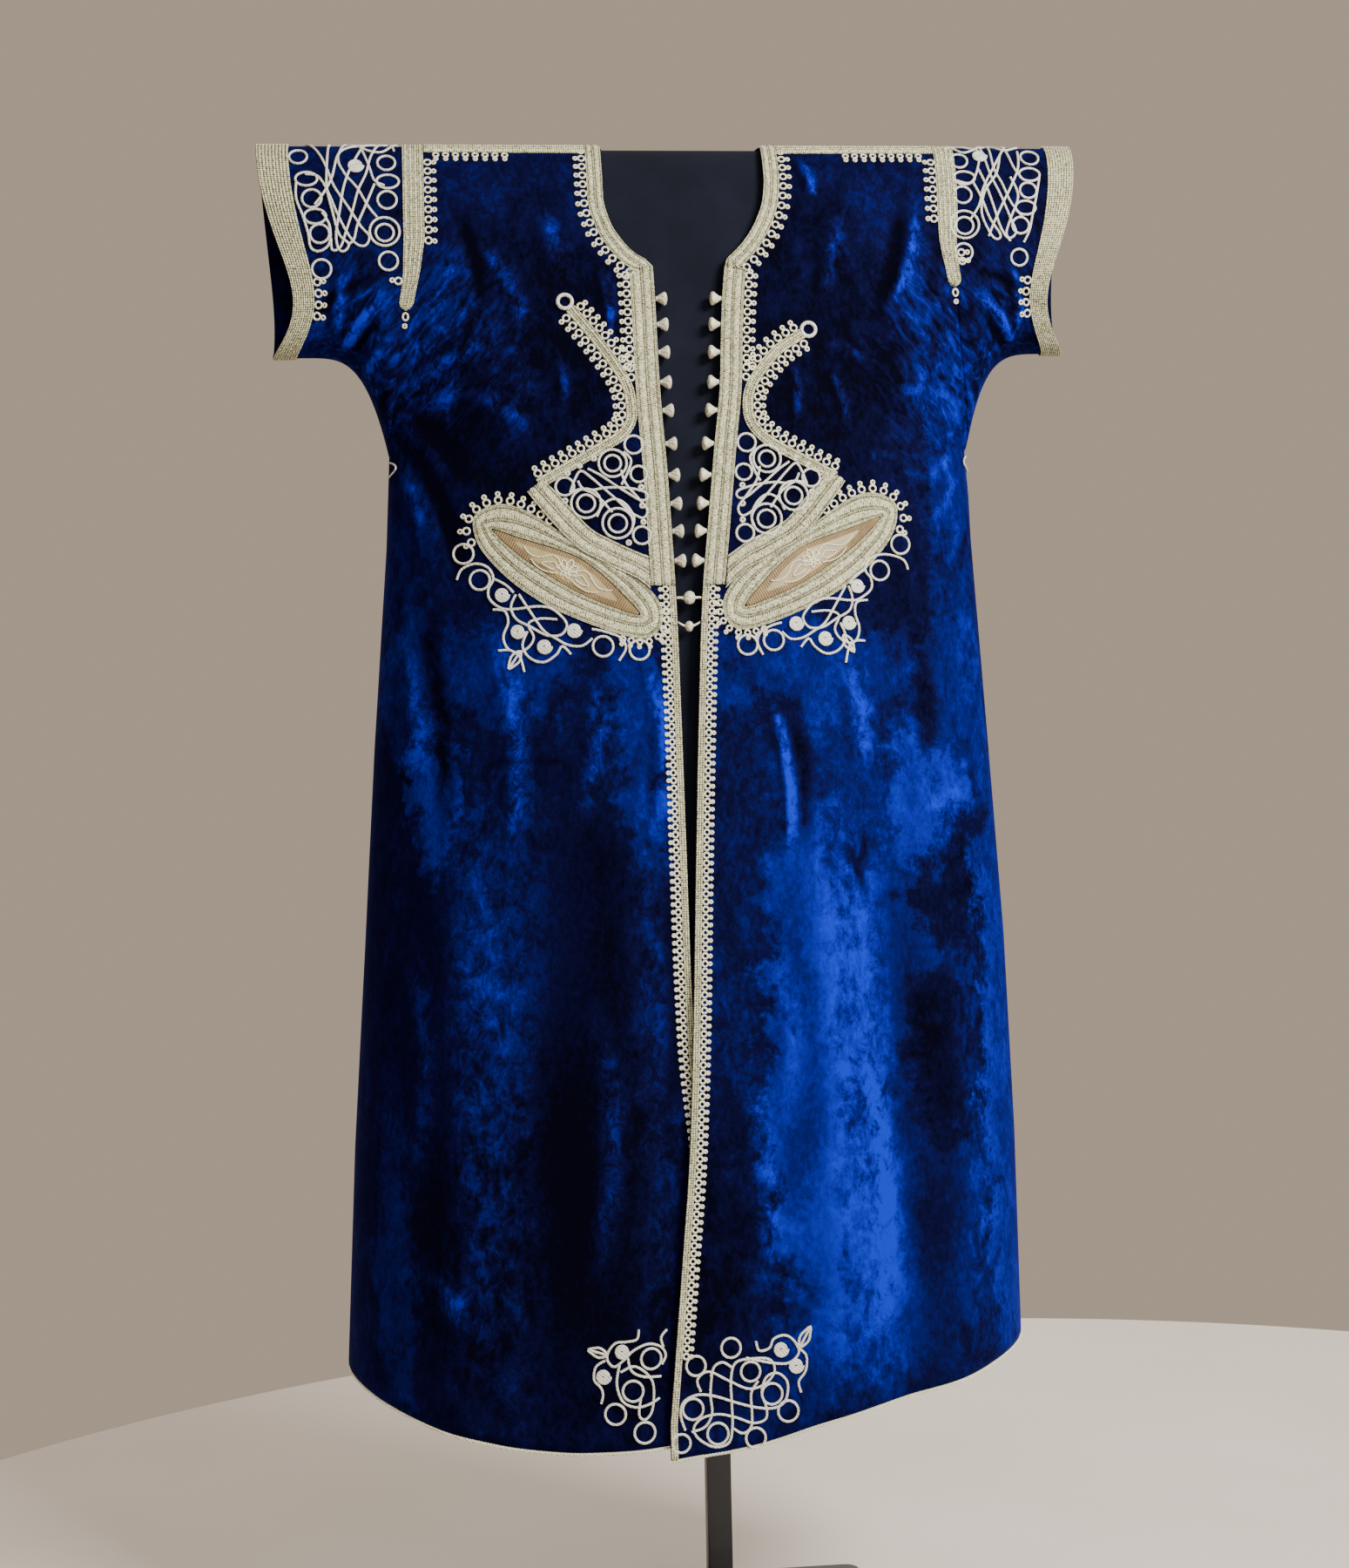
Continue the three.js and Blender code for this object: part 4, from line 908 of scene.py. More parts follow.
def armhole_lines(side):
    end = ARMHOLE_END[side]
    s = fold_steps(end, -end, 2.6)
    drop = np.abs(s)
    round_end = np.sqrt(1 - np.clip((drop - end + 9) / 9, 0, 0.999) ** 2)
    half = 10.5 * (1 - 0.3 * smooth((drop - end + 80) / 70)) * round_end
    ease = 4.5 * np.clip(drop / 100, 0, 1) * (1 - 0.6 * smooth((drop - end + 40) / 40))
    middle = body_middle(drop) + side * (body_half(drop) - 0.15 - ease)
    return [np.stack([middle + side * way * half, s], 1) for way in (-1, 1)]


CUFF_BAND_FROM = 0.79


def cuff_band(side):
    share, height, count = rib_profile(CUFF_RIBS)
    alongs = CUFF_BAND_FROM + (1 - CUFF_BAND_FROM) * share
    points, _ = sleeve_rings(side, alongs, 90, height[:, None])
    round_ = run_length(points.transpose(1, 0, 2))
    uv = np.stack(np.broadcast_arrays(round_[None, :], count[:, None]), -1)
    bm = grid_mesh(points, uv, wrap=True)
    outward_round_sleeve(bm)
    shell(bm, 0.8)
    node = "cuff_band_" + SIDE_NAMES[side]
    return stands_for(piece_from(node + "_braid", bm, NARROW_BRAID), node)


# ---- leaves, straps and branches
ORNAMENT_MIDDLE = -9
ORNAMENT_RAISE = {LEFT: 0, RIGHT: 7}
LEAF_PLACE = (120, 434)
LEAF_TILT = math.radians(28)
LEAF_OUTLINE = [
    (105, 8), (99, 24), (84, 35), (60, 38), (19, 34), (-20, 32), (-50, 29), (-78, 23), (-95, 13),
    (-102, 0), (-101, -14), (-92, -23), (-66, -30), (-21, -35), (15, -35), (53, -28), (88, -13),
]  # fmt: skip
EYE_OUTLINE = [
    (85, 7), (62, 11), (43, 14), (20, 18), (-4, 20), (-28, 16), (-54, 8),
    (-80, -3), (-58, -8), (-20, -11), (15, -9), (50, -4),
]  # fmt: skip
EYE_MIDDLE = (2, 4)
STRAP_TOP = [(56, 411), (78, 400), (95, 390), (112, 372), (124, 358), (135, 346), (141, 341)]
STRAP_LOW = [(52, 440), (74, 429), (90, 420), (105, 412), (122, 396), (138, 377), (148, 364), (156, 353)]
BRANCH_PATH = {
    LEFT: [
        (-118, 172), (-95, 201), (-76, 229), (-65, 250), (-62, 269),
        (-63, 285), (-73, 299), (-90, 309), (-111, 321), (-140, 337), (-154, 345),
    ],
    RIGHT: [
        (111, 198), (86, 214), (68, 234), (56, 253), (53, 270),
        (55, 285), (64, 298), (78, 309), (98, 320), (124, 334), (138, 341),
    ],
}  # fmt: skip
BRANCH_WIDTH = 11
BRANCH_RING = {LEFT: (-123, 165), RIGHT: (117, 194)}


def reach_along(path):
    """The distance from a path's start to each of its places."""
    return np.concatenate([[0], np.cumsum(np.linalg.norm(np.diff(path, axis=0), axis=1))])


def at_steps(path, reach, steps):
    """The points of a path at some distances from its start."""
    return np.stack([np.interp(steps, reach, path[:, k]) for k in range(path.shape[1])], 1)


def curve_through(points, spacing, closed=False):
    """Places on a smooth curve through the given ones, about `spacing` apart."""
    points = np.asarray(points, float)
    count = len(points)
    ring = [points[(i % count) if closed else min(max(i, 0), count - 1)] for i in range(-1, count + 2)]
    fine = []
    for a, b, c, d in zip(ring, ring[1:], ring[2:], ring[3:]):
        t = np.linspace(0, 1, 24, endpoint=False)[:, None]
        bend, twist = 2 * a - 5 * b + 4 * c - d, 3 * b - a - 3 * c + d
        fine.append(0.5 * (2 * b + (c - a) * t + bend * t**2 + twist * t**3))
    fine = np.concatenate(fine)[: 24 * (count if closed else count - 1)]
    fine = np.concatenate([fine, points[:1] if closed else points[-1:]])
    reach = reach_along(fine)
    steps = np.linspace(0, reach[-1], max(3, int(reach[-1] / spacing) + 1))
    return at_steps(fine, reach, steps)


def ornament(side, places):
    """Places (x, s) from distances to the ornament's own middle line."""
    a, s = np.asarray(places, float).T
    return np.stack([ORNAMENT_MIDDLE + side * a, s - ORNAMENT_RAISE[side]], 1)


def leaf_places(side, outline):
    u, v = np.asarray(outline, float).T
    a = LEAF_PLACE[0] + u * math.cos(LEAF_TILT) - v * math.sin(LEAF_TILT)
    return ornament(side, np.stack([a, LEAF_PLACE[1] - u * math.sin(LEAF_TILT) - v * math.cos(LEAF_TILT)], 1))


def even_outline(outline, count):
    """A closed outline as `count` even steps, its first place repeated at the end."""
    fine = curve_through(outline, 1.0, closed=True)
    reach = reach_along(fine)
    steps = np.linspace(0, reach[-1], count + 1)
    return at_steps(fine, reach, steps)


def leaf(side):
    outer = leaf_places(side, even_outline(LEAF_OUTLINE, 150))
    inner = leaf_places(side, even_outline(EYE_OUTLINE, 150))
    return band("leaf_" + SIDE_NAMES[side], outer, inner, LEAF_RIBS, BRAID, FRONT, wrap=True)


def insert(side):
    rim = even_outline(EYE_OUTLINE, 90)
    share = np.array([0.99, 0.93, 0.84, 0.7, 0.66, 0.5, 0.3, 0.12, 0.0])
    places = np.asarray(EYE_MIDDLE) + (rim - EYE_MIDDLE) * share[:, None, None]
    x, s = leaf_places(side, places.reshape(-1, 2)).T
    lift = 0.5 + 0.9 * (1 - share[:, None] ** 3) + 0 * places[:, :, 0]
    points = on_cloth(x, s, lift.ravel(), FRONT).reshape(places.shape[:2] + (3,))
    uv = np.stack([places[:, :, 0] * MM, share[:, None] + 0 * places[:, :, 0]], -1)
    bm = grid_mesh(points, uv, wrap=True)
    face_out(bm, Vector((0, -1, 0)))
    shell(bm, 0.5)
    node = "insert_" + SIDE_NAMES[side]
    return stands_for(piece_from(node + "_satin", bm, SATIN), node)


def strap(side):
    def line(places, s_start):
        start = np.array([[front_edge(side, s_start) + side * (PLACKET[side] + 0.6), s_start]])
        return curve_through(np.concatenate([start, ornament(side, places)]), 2.2)

    top, low = line(STRAP_TOP, 417), line(STRAP_LOW, 450)
    count = min(len(top), len(low))
    top, low = (at_steps(e, np.linspace(0, 1, len(e)), np.linspace(0, 1, count)) for e in (top, low))
    return band("strap_" + SIDE_NAMES[side], top, low, STRAP_RIBS, BRAID, FRONT, raise_low=2.0)


def sideways(path, distance):
    """A line beside a path of places, to the right of its way for a positive distance."""
    way = np.gradient(path, axis=0)
    way /= np.linalg.norm(way, axis=1)[:, None]
    return path + distance * np.stack([-way[:, 1], way[:, 0]], 1)


def branch(side):
    path = curve_through(BRANCH_PATH[side], 2.2)
    lines = [sideways(path, -side * way * BRANCH_WIDTH / 2) for way in (-1, 1)]
    return band("branch_" + SIDE_NAMES[side], *lines, BRANCH_RIBS, NARROW_BRAID, FRONT)


# ---- cords laid on the cloth
def cord_mesh(runs, radius, sides_step=1):
    """Tubes along runs of points, each run a pair of an array in millimetres and whether it closes."""
    curve = bpy.data.curves.new("run", "CURVE")
    curve.dimensions = "3D"
    curve.bevel_depth = radius * MM
    curve.bevel_resolution = sides_step
    curve.use_fill_caps = True
    for points, closed in runs:
        spline = curve.splines.new("POLY")
        spline.points.add(len(points) - 1)
        spline.points.foreach_set("co", np.c_[points * MM, np.ones(len(points))].ravel())
        spline.use_cyclic_u = closed
    obj = bpy.data.objects.new("run", curve)
    mesh = bpy.data.meshes.new_from_object(obj)
    bpy.data.objects.remove(obj)
    bpy.data.curves.remove(curve)
    return mesh


def cords(name, runs, radius, material, sides_step=1):
    obj = piece_from(name, cord_mesh(runs, radius, sides_step), material)
    return obj


def ring_places(x, s, radius, count=26, turns=1.0, inner=None, squash=1.0):
    """A ring on the cloth at its true size, or a spiral down to an inner radius."""
    angle = np.linspace(0, 2 * math.pi * turns, count, endpoint=inner is not None)
    size = radius if inner is None else np.linspace(radius, inner, count)
    return unflat(flat([(x, s)]) + np.stack([size * np.cos(angle) * squash, size * np.sin(angle)], 1))


def on_top(places, lift, behind=False):
    return on_cloth(places[:, 0], places[:, 1], lift, None, behind)


def cloth_path(places, spacing=2.2, closed=False):
    """A smooth path over the cloth through places, also over the shoulder fold."""
    return unflat(curve_through(flat(places), spacing, closed))


BEAD_CORD = 1.1


def beads_along(edge, away, pitch, behind=False, big=3.3, small=1.9):
    """A row of small cord rings beside a line of places, each with a smaller one outside it."""
    edge = flat(edge)
    reach = reach_along(edge)
    count = max(1, int(round(reach[-1] / pitch)))
    runs = []
    for step in (np.arange(count) + 0.5) * reach[-1] / count:
        before, here, after = at_steps(edge, reach, step + np.array([-0.5, 0, 0.5]))
        way = (after - before) / np.linalg.norm(after - before)
        out = away * np.array([-way[1], way[0]])
        for radius, distance, sides in ((big, big + 0.5, 12), (small, 2 * big + small + 1.4, 8)):
            centre = unflat(here + out * distance)
            runs.append((on_top(ring_places(*centre, radius, sides), BEAD_CORD * 0.75, behind), True))
    return runs


# ---- joining it up
def stands_for(obj, node):
    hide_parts(node)
    return obj


panels = {"back": back_panel()}
for side in (LEFT, RIGHT):
    panels["front", side] = front_panel(side)
    panels["sleeve", side] = sleeve(side)

neck_inner, neck_outer = neck_lines()
band("neck_band", neck_inner, neck_outer, NECK_RIBS, BRAID)
for side in (LEFT, RIGHT):
    hem = HEM[side][1][0] - 1
    edge_band("placket_band", side, 130, PLACKET_END, PLACKET[side], 5, PLACKET_RIBS, BRAID)
    edge_band("front_border", side, PLACKET_END + 0.6, hem, BORDER, 0, BORDER_RIBS, NARROW_BRAID)
    shoulder_band(side)
    band("armhole_band_" + SIDE_NAMES[side], *armhole_lines(side), ARMHOLE_RIBS, NARROW_BRAID)
    cuff_band(side)
    leaf(side)
    insert(side)
    strap(side)
    branch(side)

# ---- couched ornament on the cloth
LATTICE_CORD = 1.3
# Rings are (x, s, radius), ovals (x, s, radius, width share) and discs (x, s, radius), all in millimetres.
SLEEVE_RINGS = {
    LEFT: [
        (-380, 16, 8.8), (-367, 60, 9.4), (-360, 95, 9.4), (-359, 129, 9.3), (-294, 22, 8.8),
        (-294, 61, 9.4), (-297, 94, 8.8), (-297, 93, 14.6), (-294, 122, 9.2),
    ],
    RIGHT: [
        (282, 18, 8.8), (282, 55, 9.2), (282, 87, 9), (282, 86, 14.6), (280, 114, 9),
        (355, 15, 9.2), (349, 51, 8.6), (339, 87, 8.6), (337, 119, 8.4),
    ],
}  # fmt: skip
SLEEVE_OVALS = {
    LEFT: [(-372, 40, 7.6, 1.4), (-364, 78, 7.6, 1.4), (-293, 42, 7.6, 1.45)],
    RIGHT: [(285, 37, 7.6, 1.45), (352, 34, 7.6, 1.4), (345, 69, 7.4, 1.4)],
}
SLEEVE_DISCS = {LEFT: [(-324, 26, 7.4)], RIGHT: [(304, 13, 7)]}
SLEEVE_STRANDS = {
    LEFT: [
        [(-382, 44), (-382, 60), (-376, 77), (-371, 95), (-369, 108), (-361, 112), (-351, 105),
         (-350, 88), (-357, 74)],
        [(-373, 0), (-360, 12), (-352, 29), (-345, 48), (-333, 67), (-320, 88), (-312, 98), (-316, 107),
         (-325, 105), (-334, 93), (-343, 74), (-350, 56), (-360, 38), (-373, 35)],
        [(-350, 0), (-352, 27), (-352, 50), (-347, 74), (-341, 96), (-332, 105), (-336, 112), (-342, 110),
         (-344, 95), (-340, 72), (-336, 49), (-330, 31), (-320, 10), (-312, 0)],
        [(-333, 0), (-341, 17), (-335, 34), (-323, 49), (-313, 67), (-304, 79)],
        [(-323, 0), (-311, 26), (-306, 41), (-296, 46)],
        [(-299, 0), (-309, 15), (-314, 34), (-322, 52), (-328, 74), (-334, 92), (-340, 108),
         (-348, 111), (-349, 100)],
        [(-286, 8), (-292, 0), (-303, 0), (-316, 2), (-331, 5), (-341, 14), (-347, 38), (-355, 54),
         (-364, 66)],
        [(-306, 45), (-315, 67), (-323, 86), (-327, 101), (-333, 106)],
        [(-283, 0), (-296, 9), (-310, 9), (-322, 3), (-334, 0)],
    ],
    RIGHT: [
        [(270, 6), (280, 0), (293, 2), (304, 7), (301, 24), (292, 42), (277, 40)],
        [(294, 42), (301, 59), (308, 80), (318, 97), (313, 101), (306, 92), (300, 73), (305, 51),
         (318, 33), (325, 12)],
        [(316, 0), (316, 25), (323, 44), (330, 63), (341, 78)],
        [(306, 0), (311, 30), (320, 55), (329, 80), (334, 94), (326, 100), (318, 88), (312, 66),
         (306, 44), (300, 26)],
        [(344, 8), (341, 27), (331, 48), (321, 66), (311, 86), (306, 98)],
        [(330, 0), (336, 24), (345, 40)],
        [(333, 2), (318, 23), (304, 47), (298, 66), (289, 80)],
        [(332, 37), (338, 57), (329, 80), (324, 95), (328, 103)],
        [(362, 37), (357, 57), (352, 76), (348, 92), (342, 104)],
        [(272, 0), (286, 8), (300, 5), (314, 0), (330, 6), (346, 2)],
    ],
}  # fmt: skip
TRIANGLE_RINGS = [
    (-61, 308, 8.9), (-57, 337, 8), (-82, 326, 8), (-82, 326, 13.6), (-129, 348, 8.9),
    (-109, 365, 8.6), (-109, 365, 14.4), (-79, 385, 8.8), (-79, 385, 14.8), (-56, 397, 8.6),
    (-55, 350, 1.9), (-54.6, 368, 1.9), (-54, 384, 1.9), (-126, 335, 1.9), (-114, 328, 1.9), (-100, 321, 1.9),
    (-129, 362, 1.9), (-69, 404, 1.9),
]  # fmt: skip
TRIANGLE_STRANDS = [
    [(-124, 354), (-119, 341), (-113, 333), (-104, 339), (-92, 350), (-78, 363), (-65, 375), (-54, 380),
     (-50, 372), (-58, 361), (-70, 346), (-74, 333)],
    [(-106, 331), (-95, 337), (-81, 347), (-69, 355), (-58, 362), (-50, 362), (-50, 356), (-60, 352),
     (-75, 350), (-90, 350), (-103, 352), (-112, 350), (-116, 343)],
    [(-99, 378), (-92, 366), (-81, 361), (-70, 367), (-63, 380), (-66, 392)],
    [(-124, 355), (-113, 351), (-98, 358), (-88, 369), (-84, 374)],
    [(-71, 315), (-64, 323), (-68, 336), (-74, 347)],
]  # fmt: skip
UNDER_LEAF_RINGS = [(-228, 411, 9.6), (-213, 437, 9.6), (-97, 504, 9.8), (-62, 508, 9.6)]
UNDER_LEAF_DISCS = [(-192, 452, 6.6), (-178, 488, 6.6), (-153, 503, 6.9), (-124, 488, 6.8)]
UNDER_LEAF_BUDS = {LEFT: (-176, 507, -188, 524), RIGHT: (139, 497, 149, 514)}
UNDER_LEAF_STRANDS = [
    [(-235, 436), (-230, 426), (-217, 421), (-205, 425), (-200, 436), (-205, 446), (-204, 456), (-193, 465),
     (-179, 466), (-160, 464), (-146, 466), (-136, 474), (-131, 483), (-137, 492), (-151, 492), (-165, 484),
     (-179, 476), (-184, 464), (-179, 452)],
    [(-176, 452), (-165, 470), (-153, 488), (-141, 496), (-130, 502), (-117, 503), (-107, 496)],
    [(-201, 466), (-190, 468), (-187, 479), (-192, 492), (-189, 503), (-180, 508), (-169, 504), (-163, 494),
     (-168, 481), (-157, 476), (-140, 477)],
    [(-200, 436), (-189, 442), (-181, 450)],
    [(-169, 488), (-174, 502), (-167, 514), (-154, 518), (-142, 511), (-136, 503), (-128, 511)],
    [(-107, 487), (-94, 490), (-80, 496), (-75, 506), (-82, 518)],
    [(-197, 506), (-186, 506), (-177, 512), (-173, 527)],
]  # fmt: skip
# How far the right-hand ornament under the leaf is drawn in, for distances from the middle line.
DRAWN_IN = ([50, 88, 115, 170, 184, 204, 218], [0, 10, 14, 15, 19, 16, 8])
HEM_RINGS = {
    LEFT: [(-72, 1178, 9.6), (-90, 1207, 9.6), (-107, 1228, 9.6), (-80, 1246, 9.8)],
    RIGHT: [
        (-30, 1186, 9.2), (4, 1171, 9.2), (22, 1194, 9.2), (42, 1216, 9.8), (57, 1233, 9.8),
        (-34, 1226, 9.8), (-11, 1250, 10), (25, 1256, 9.4), (-46, 1257, 8.6),
    ],
}  # fmt: skip
HEM_DISCS = {LEFT: [(-99, 1170, 6.6), (-117, 1193, 6.6)], RIGHT: [(52, 1175, 6.8), (66, 1191, 6.8)]}
HEM_BUDS = {LEFT: [(-113, 1173, -131, 1168)], RIGHT: [(70, 1174, 81, 1155)]}
HEM_STRANDS = {
    LEFT: [
        [(-83, 1150), (-85, 1159), (-95, 1161), (-105, 1162), (-112, 1170), (-113, 1178), (-107, 1184),
         (-98, 1178), (-88, 1169), (-74, 1164), (-62, 1168), (-58, 1176), (-62, 1184)],
        [(-56, 1152), (-62, 1159), (-60, 1168)],
        [(-94, 1176), (-91, 1188), (-80, 1194), (-63, 1195)],
        [(-102, 1182), (-105, 1200), (-100, 1216), (-88, 1222), (-75, 1220), (-65, 1215)],
        [(-101, 1189), (-89, 1184), (-78, 1190), (-71, 1201), (-71, 1218), (-74, 1229), (-80, 1234),
         (-85, 1229), (-83, 1214)],
        [(-115, 1178), (-124, 1184), (-126, 1196), (-120, 1203), (-118, 1210), (-120, 1218)],
    ],
    RIGHT: [
        [(-26, 1210), (-29, 1199), (-18, 1192), (2, 1202), (20, 1210), (36, 1206), (45, 1195), (41, 1184),
         (25, 1182), (8, 1185), (3, 1200), (3, 1222), (3, 1244), (-1, 1259), (-15, 1262), (-29, 1254),
         (-34, 1244), (-26, 1235), (-10, 1232), (7, 1236), (23, 1242), (35, 1239), (36, 1228), (32, 1214),
         (37, 1200), (48, 1197), (57, 1206), (55, 1222), (45, 1229), (28, 1228), (7, 1222), (-13, 1215),
         (-30, 1213), (-43, 1219), (-46, 1231), (-42, 1245)],
        [(-16, 1196), (-12, 1187), (-4, 1184), (4, 1189)],
        [(-15, 1194), (-17, 1213), (-16, 1231), (-23, 1243), (-36, 1247)],
        [(29, 1203), (22, 1214), (22, 1231), (21, 1245), (13, 1251), (4, 1246)],
        [(28, 1166), (31, 1175), (41, 1173), (45, 1165), (56, 1162), (65, 1168), (69, 1179),
         (59, 1188), (42, 1187), (18, 1181)],
        [(68, 1174), (76, 1182), (75, 1196), (68, 1206), (70, 1216)],
    ],
}  # fmt: skip


def laid_cord(places, behind=False, closed=False, lift=LATTICE_CORD * 0.75):
    return on_top(cloth_path(places, closed=closed), lift, behind), closed


def bud(x1, s1, x2, s2, width):
    """A small leaf of cord between two places, with a vein."""
    a, b = flat([(x1, s1), (x2, s2)])
    beside = np.array([-(b - a)[1], (b - a)[0]]) / np.linalg.norm(b - a) * width / 2
    rim = [a, a + (b - a) * 0.4 + beside, a + (b - a) * 0.8 + beside * 0.5, b]
    rim += [a + (b - a) * 0.8 - beside * 0.5, a + (b - a) * 0.4 - beside]
    return unflat(np.array(rim)), unflat(np.array([a, (a + b) / 2, a + (b - a) * 0.9]))


def ornament_runs(strands=(), rings=(), ovals=(), discs=(), buds=(), behind=False):
    runs = [laid_cord(places, behind) for places in strands]
    for x, s, radius, *share in [*rings, *ovals]:
        lift = LATTICE_CORD * (0.75 if radius < 12 else 1.1)
        runs.append((on_top(ring_places(x, s, radius, squash=share[0] if share else 1), lift, behind), True))
    for x, s, radius in discs:
        runs.append((on_top(ring_places(x, s, radius, 90, 3.5, inner=0.8), 1.4, behind), False))
    for ends in buds:
        rim, vein = bud(*ends, 9)
        runs += [laid_cord(rim, behind, True), laid_cord(vein, behind)]
    return runs


def turned_back(places):
    """The same places on the back, for strands, rings and discs alike."""
    if isinstance(places, list):
        return [turned_back(p) for p in places]
    x, s, *rest = places
    return (x, -s, *rest)


def sleeve_ornament(side):
    parts = [table[side] for table in (SLEEVE_STRANDS, SLEEVE_RINGS, SLEEVE_OVALS, SLEEVE_DISCS)]
    runs = ornament_runs(*parts) + ornament_runs(*[turned_back(part) for part in parts])
    cords("sleeve_lattice_" + SIDE_NAMES[side], runs, LATTICE_CORD, CORD)


def mirrored(places, spread, rise):
    """Left-hand places moved over to the right-hand front."""
    x, s, *rest = places
    a = ORNAMENT_MIDDLE - x
    return (ORNAMENT_MIDDLE + a + spread(a), s - rise(a), *rest)


def chest_ornament(side):
    tables = (TRIANGLE_STRANDS, TRIANGLE_RINGS), (UNDER_LEAF_STRANDS, UNDER_LEAF_RINGS, (), UNDER_LEAF_DISCS)
    changes = (
        (lambda a: np.interp(a, [52, 120], [7, 2]), lambda a: np.interp(a, [50, 110], [1, 6])),
        (lambda a: -np.interp(a, *DRAWN_IN), lambda a: 3),
    )
    runs = []
    for (strands, *others), change in zip(tables, changes):
        if side == RIGHT:
            strands = [[mirrored(p, *change) for p in strand] for strand in strands]
            others = [[mirrored(p, *change) for p in part] for part in others]
        runs += ornament_runs(strands, *others)
    runs += ornament_runs(buds=[UNDER_LEAF_BUDS[side]])
    cords("chest_lattice_" + SIDE_NAMES[side], runs, LATTICE_CORD, CORD)


def hem_ornament(side):
    tables = (HEM_STRANDS, HEM_RINGS, {LEFT: [], RIGHT: []}, HEM_DISCS, HEM_BUDS)
    runs = ornament_runs(*[table[side] for table in tables], behind=side == LEFT)
    cords("hem_lattice_" + SIDE_NAMES[side], runs, LATTICE_CORD, CORD)


def edge_line(side, offset, start, end):
    s = np.linspace(start, end, 120)
    return np.stack([front_edge(side, s) + side * offset, s], 1)


def bead_rows(side):
    """The rows of cord rings that stand along the bands of one half."""
    name = SIDE_NAMES[side]
    inner, outer = neckline(side, fold_steps(4, 122, 3))
    rows = {
        "neck_beads": beads_along(outer, -side, 10.4),
        "placket_beads": beads_along(edge_line(side, PLACKET[side], 134, 246), -side, 9.2),
        "border_beads": beads_along(
            edge_line(side, BORDER, 446, 1000 if side == LEFT else 1180), -side, 7.4, side == LEFT, 2.7, 1.4
        ),
    }
    path = cloth_path(BRANCH_PATH[side])
    top = path[path[:, 1] < 240]
    leaf_top = leaf_places(side, [(34, 35), (60, 38), (84, 35), (99, 24), (105, 8), (101, -5), (90, -12)])
    leaf_end = leaf_places(side, [(-70, -30), (-92, -23), (-101, -14), (-102, 0), (-95, 13)])
    rows["branch_beads"] = (
        beads_along(sideways(path, -side * BRANCH_WIDTH / 2), -side, 9.6)
        + beads_along(sideways(top, side * BRANCH_WIDTH / 2), side, 9.6)
        + beads_along(cloth_path(leaf_top), -side, 10.2)
        + beads_along(cloth_path(leaf_end), -side, 8.4, False, 2.6, 1.5)
    )
    inner, outer = armhole_lines(side)
    x, s = sleeve_places(side, [CUFF_BAND_FROM], np.linspace(0.5, 0.95, 80), FRONT)
    cuff = np.stack([x[0], s[0]], 1)
    cuff = cuff[(cuff[:, 1] > 136) & (cuff[:, 1] < 178)]
    low, high = (-250, -172) if side == LEFT else (162, 246)
    fold = np.stack([np.linspace(low, high, 40), np.full(40, 10.0)], 1)
    beads = rows["sleeve_beads"] = []
    band_end = ARMHOLE_END[side]
    stretches = (inner, side, 15, band_end - 62), (outer, -side, band_end - 38, band_end - 18)
    for face in (1, -1):
        for line, away, start, end in stretches:
            row = line[(line[:, 1] * face > start) & (line[:, 1] * face < end)]
            row = row[np.argsort(row[:, 1] * face)]
            beads += beads_along(row, away * face, 10.8)
        beads += beads_along(cuff * (1, face), side * face, 9.8)
        beads += beads_along(fold * (1, face), face, 9.4, False, 2.7, 1.8)
        for below, radius, squash in ((6.5, 3.6, 0.75), (15.5, 1.8, 1)):
            s = band_end + below
            x = body_middle(s) + side * (body_half(s) - 2)
            ring = ring_places(x, s * face, radius, 14, squash=squash)
            beads.append((on_top(ring, BEAD_CORD * 0.75), True))
    for row, runs in rows.items():
        cords(f"{row}_{name}", runs, BEAD_CORD, GOLD_CORD)


FLOWER_PLACE = np.array([2, 2])
FLOWER_SCROLLS = [
    [(7, 3), (13, 8), (20, 8), (27, 3), (34, 0), (42, 1), (47, 4)],
    [(9, -1), (14, 3), (20, 1), (25, -3), (18, -4), (11, -3)],
    [(7, -5), (16, -8), (27, -8), (36, -4)],
]


def insert_flower(side):
    """A small flower with a scroll to either side, in thin cord on the satin."""
    runs = []
    for angle, length in ((90, 13), (48, 12), (132, 12), (14, 10), (166, 10), (-50, 7), (-130, 7)):
        way = np.array([math.cos(math.radians(angle)), math.sin(math.radians(angle))]) * length
        beside = np.array([-way[1], way[0]]) * 0.24
        petal = FLOWER_PLACE + np.array([way * 0.12, way * 0.55 + beside, way, way * 0.55 - beside])
        runs.append((petal, True))
    for way in (-1, 1):
        for scroll in FLOWER_SCROLLS:
            runs.append((FLOWER_PLACE + np.array(scroll) * (way, 1), False))
    laid = []
    for places, closed in runs:
        path = leaf_places(side, curve_through(places, 1.2, closed))
        laid.append((on_cloth(path[:, 0], path[:, 1], 1.7, FRONT), closed))
    cords("insert_flower_" + SIDE_NAMES[side], laid, 0.75, GOLD_CORD)


def back_neck_beads():
    t = np.linspace(-0.985, 0.985, 120)
    edge = np.stack([(NECK_HALF + NECK_BAND) * t, -(BACK_NECK_DROP + NECK_BAND) * (1 - t * t)], 1)
    cords("back_neck_beads", beads_along(edge, -1, 10.4), BEAD_CORD, GOLD_CORD)


for side in (LEFT, RIGHT):
    sleeve_ornament(side)
    chest_ornament(side)
    hem_ornament(side)
    insert_flower(side)
    bead_rows(side)
back_neck_beads()


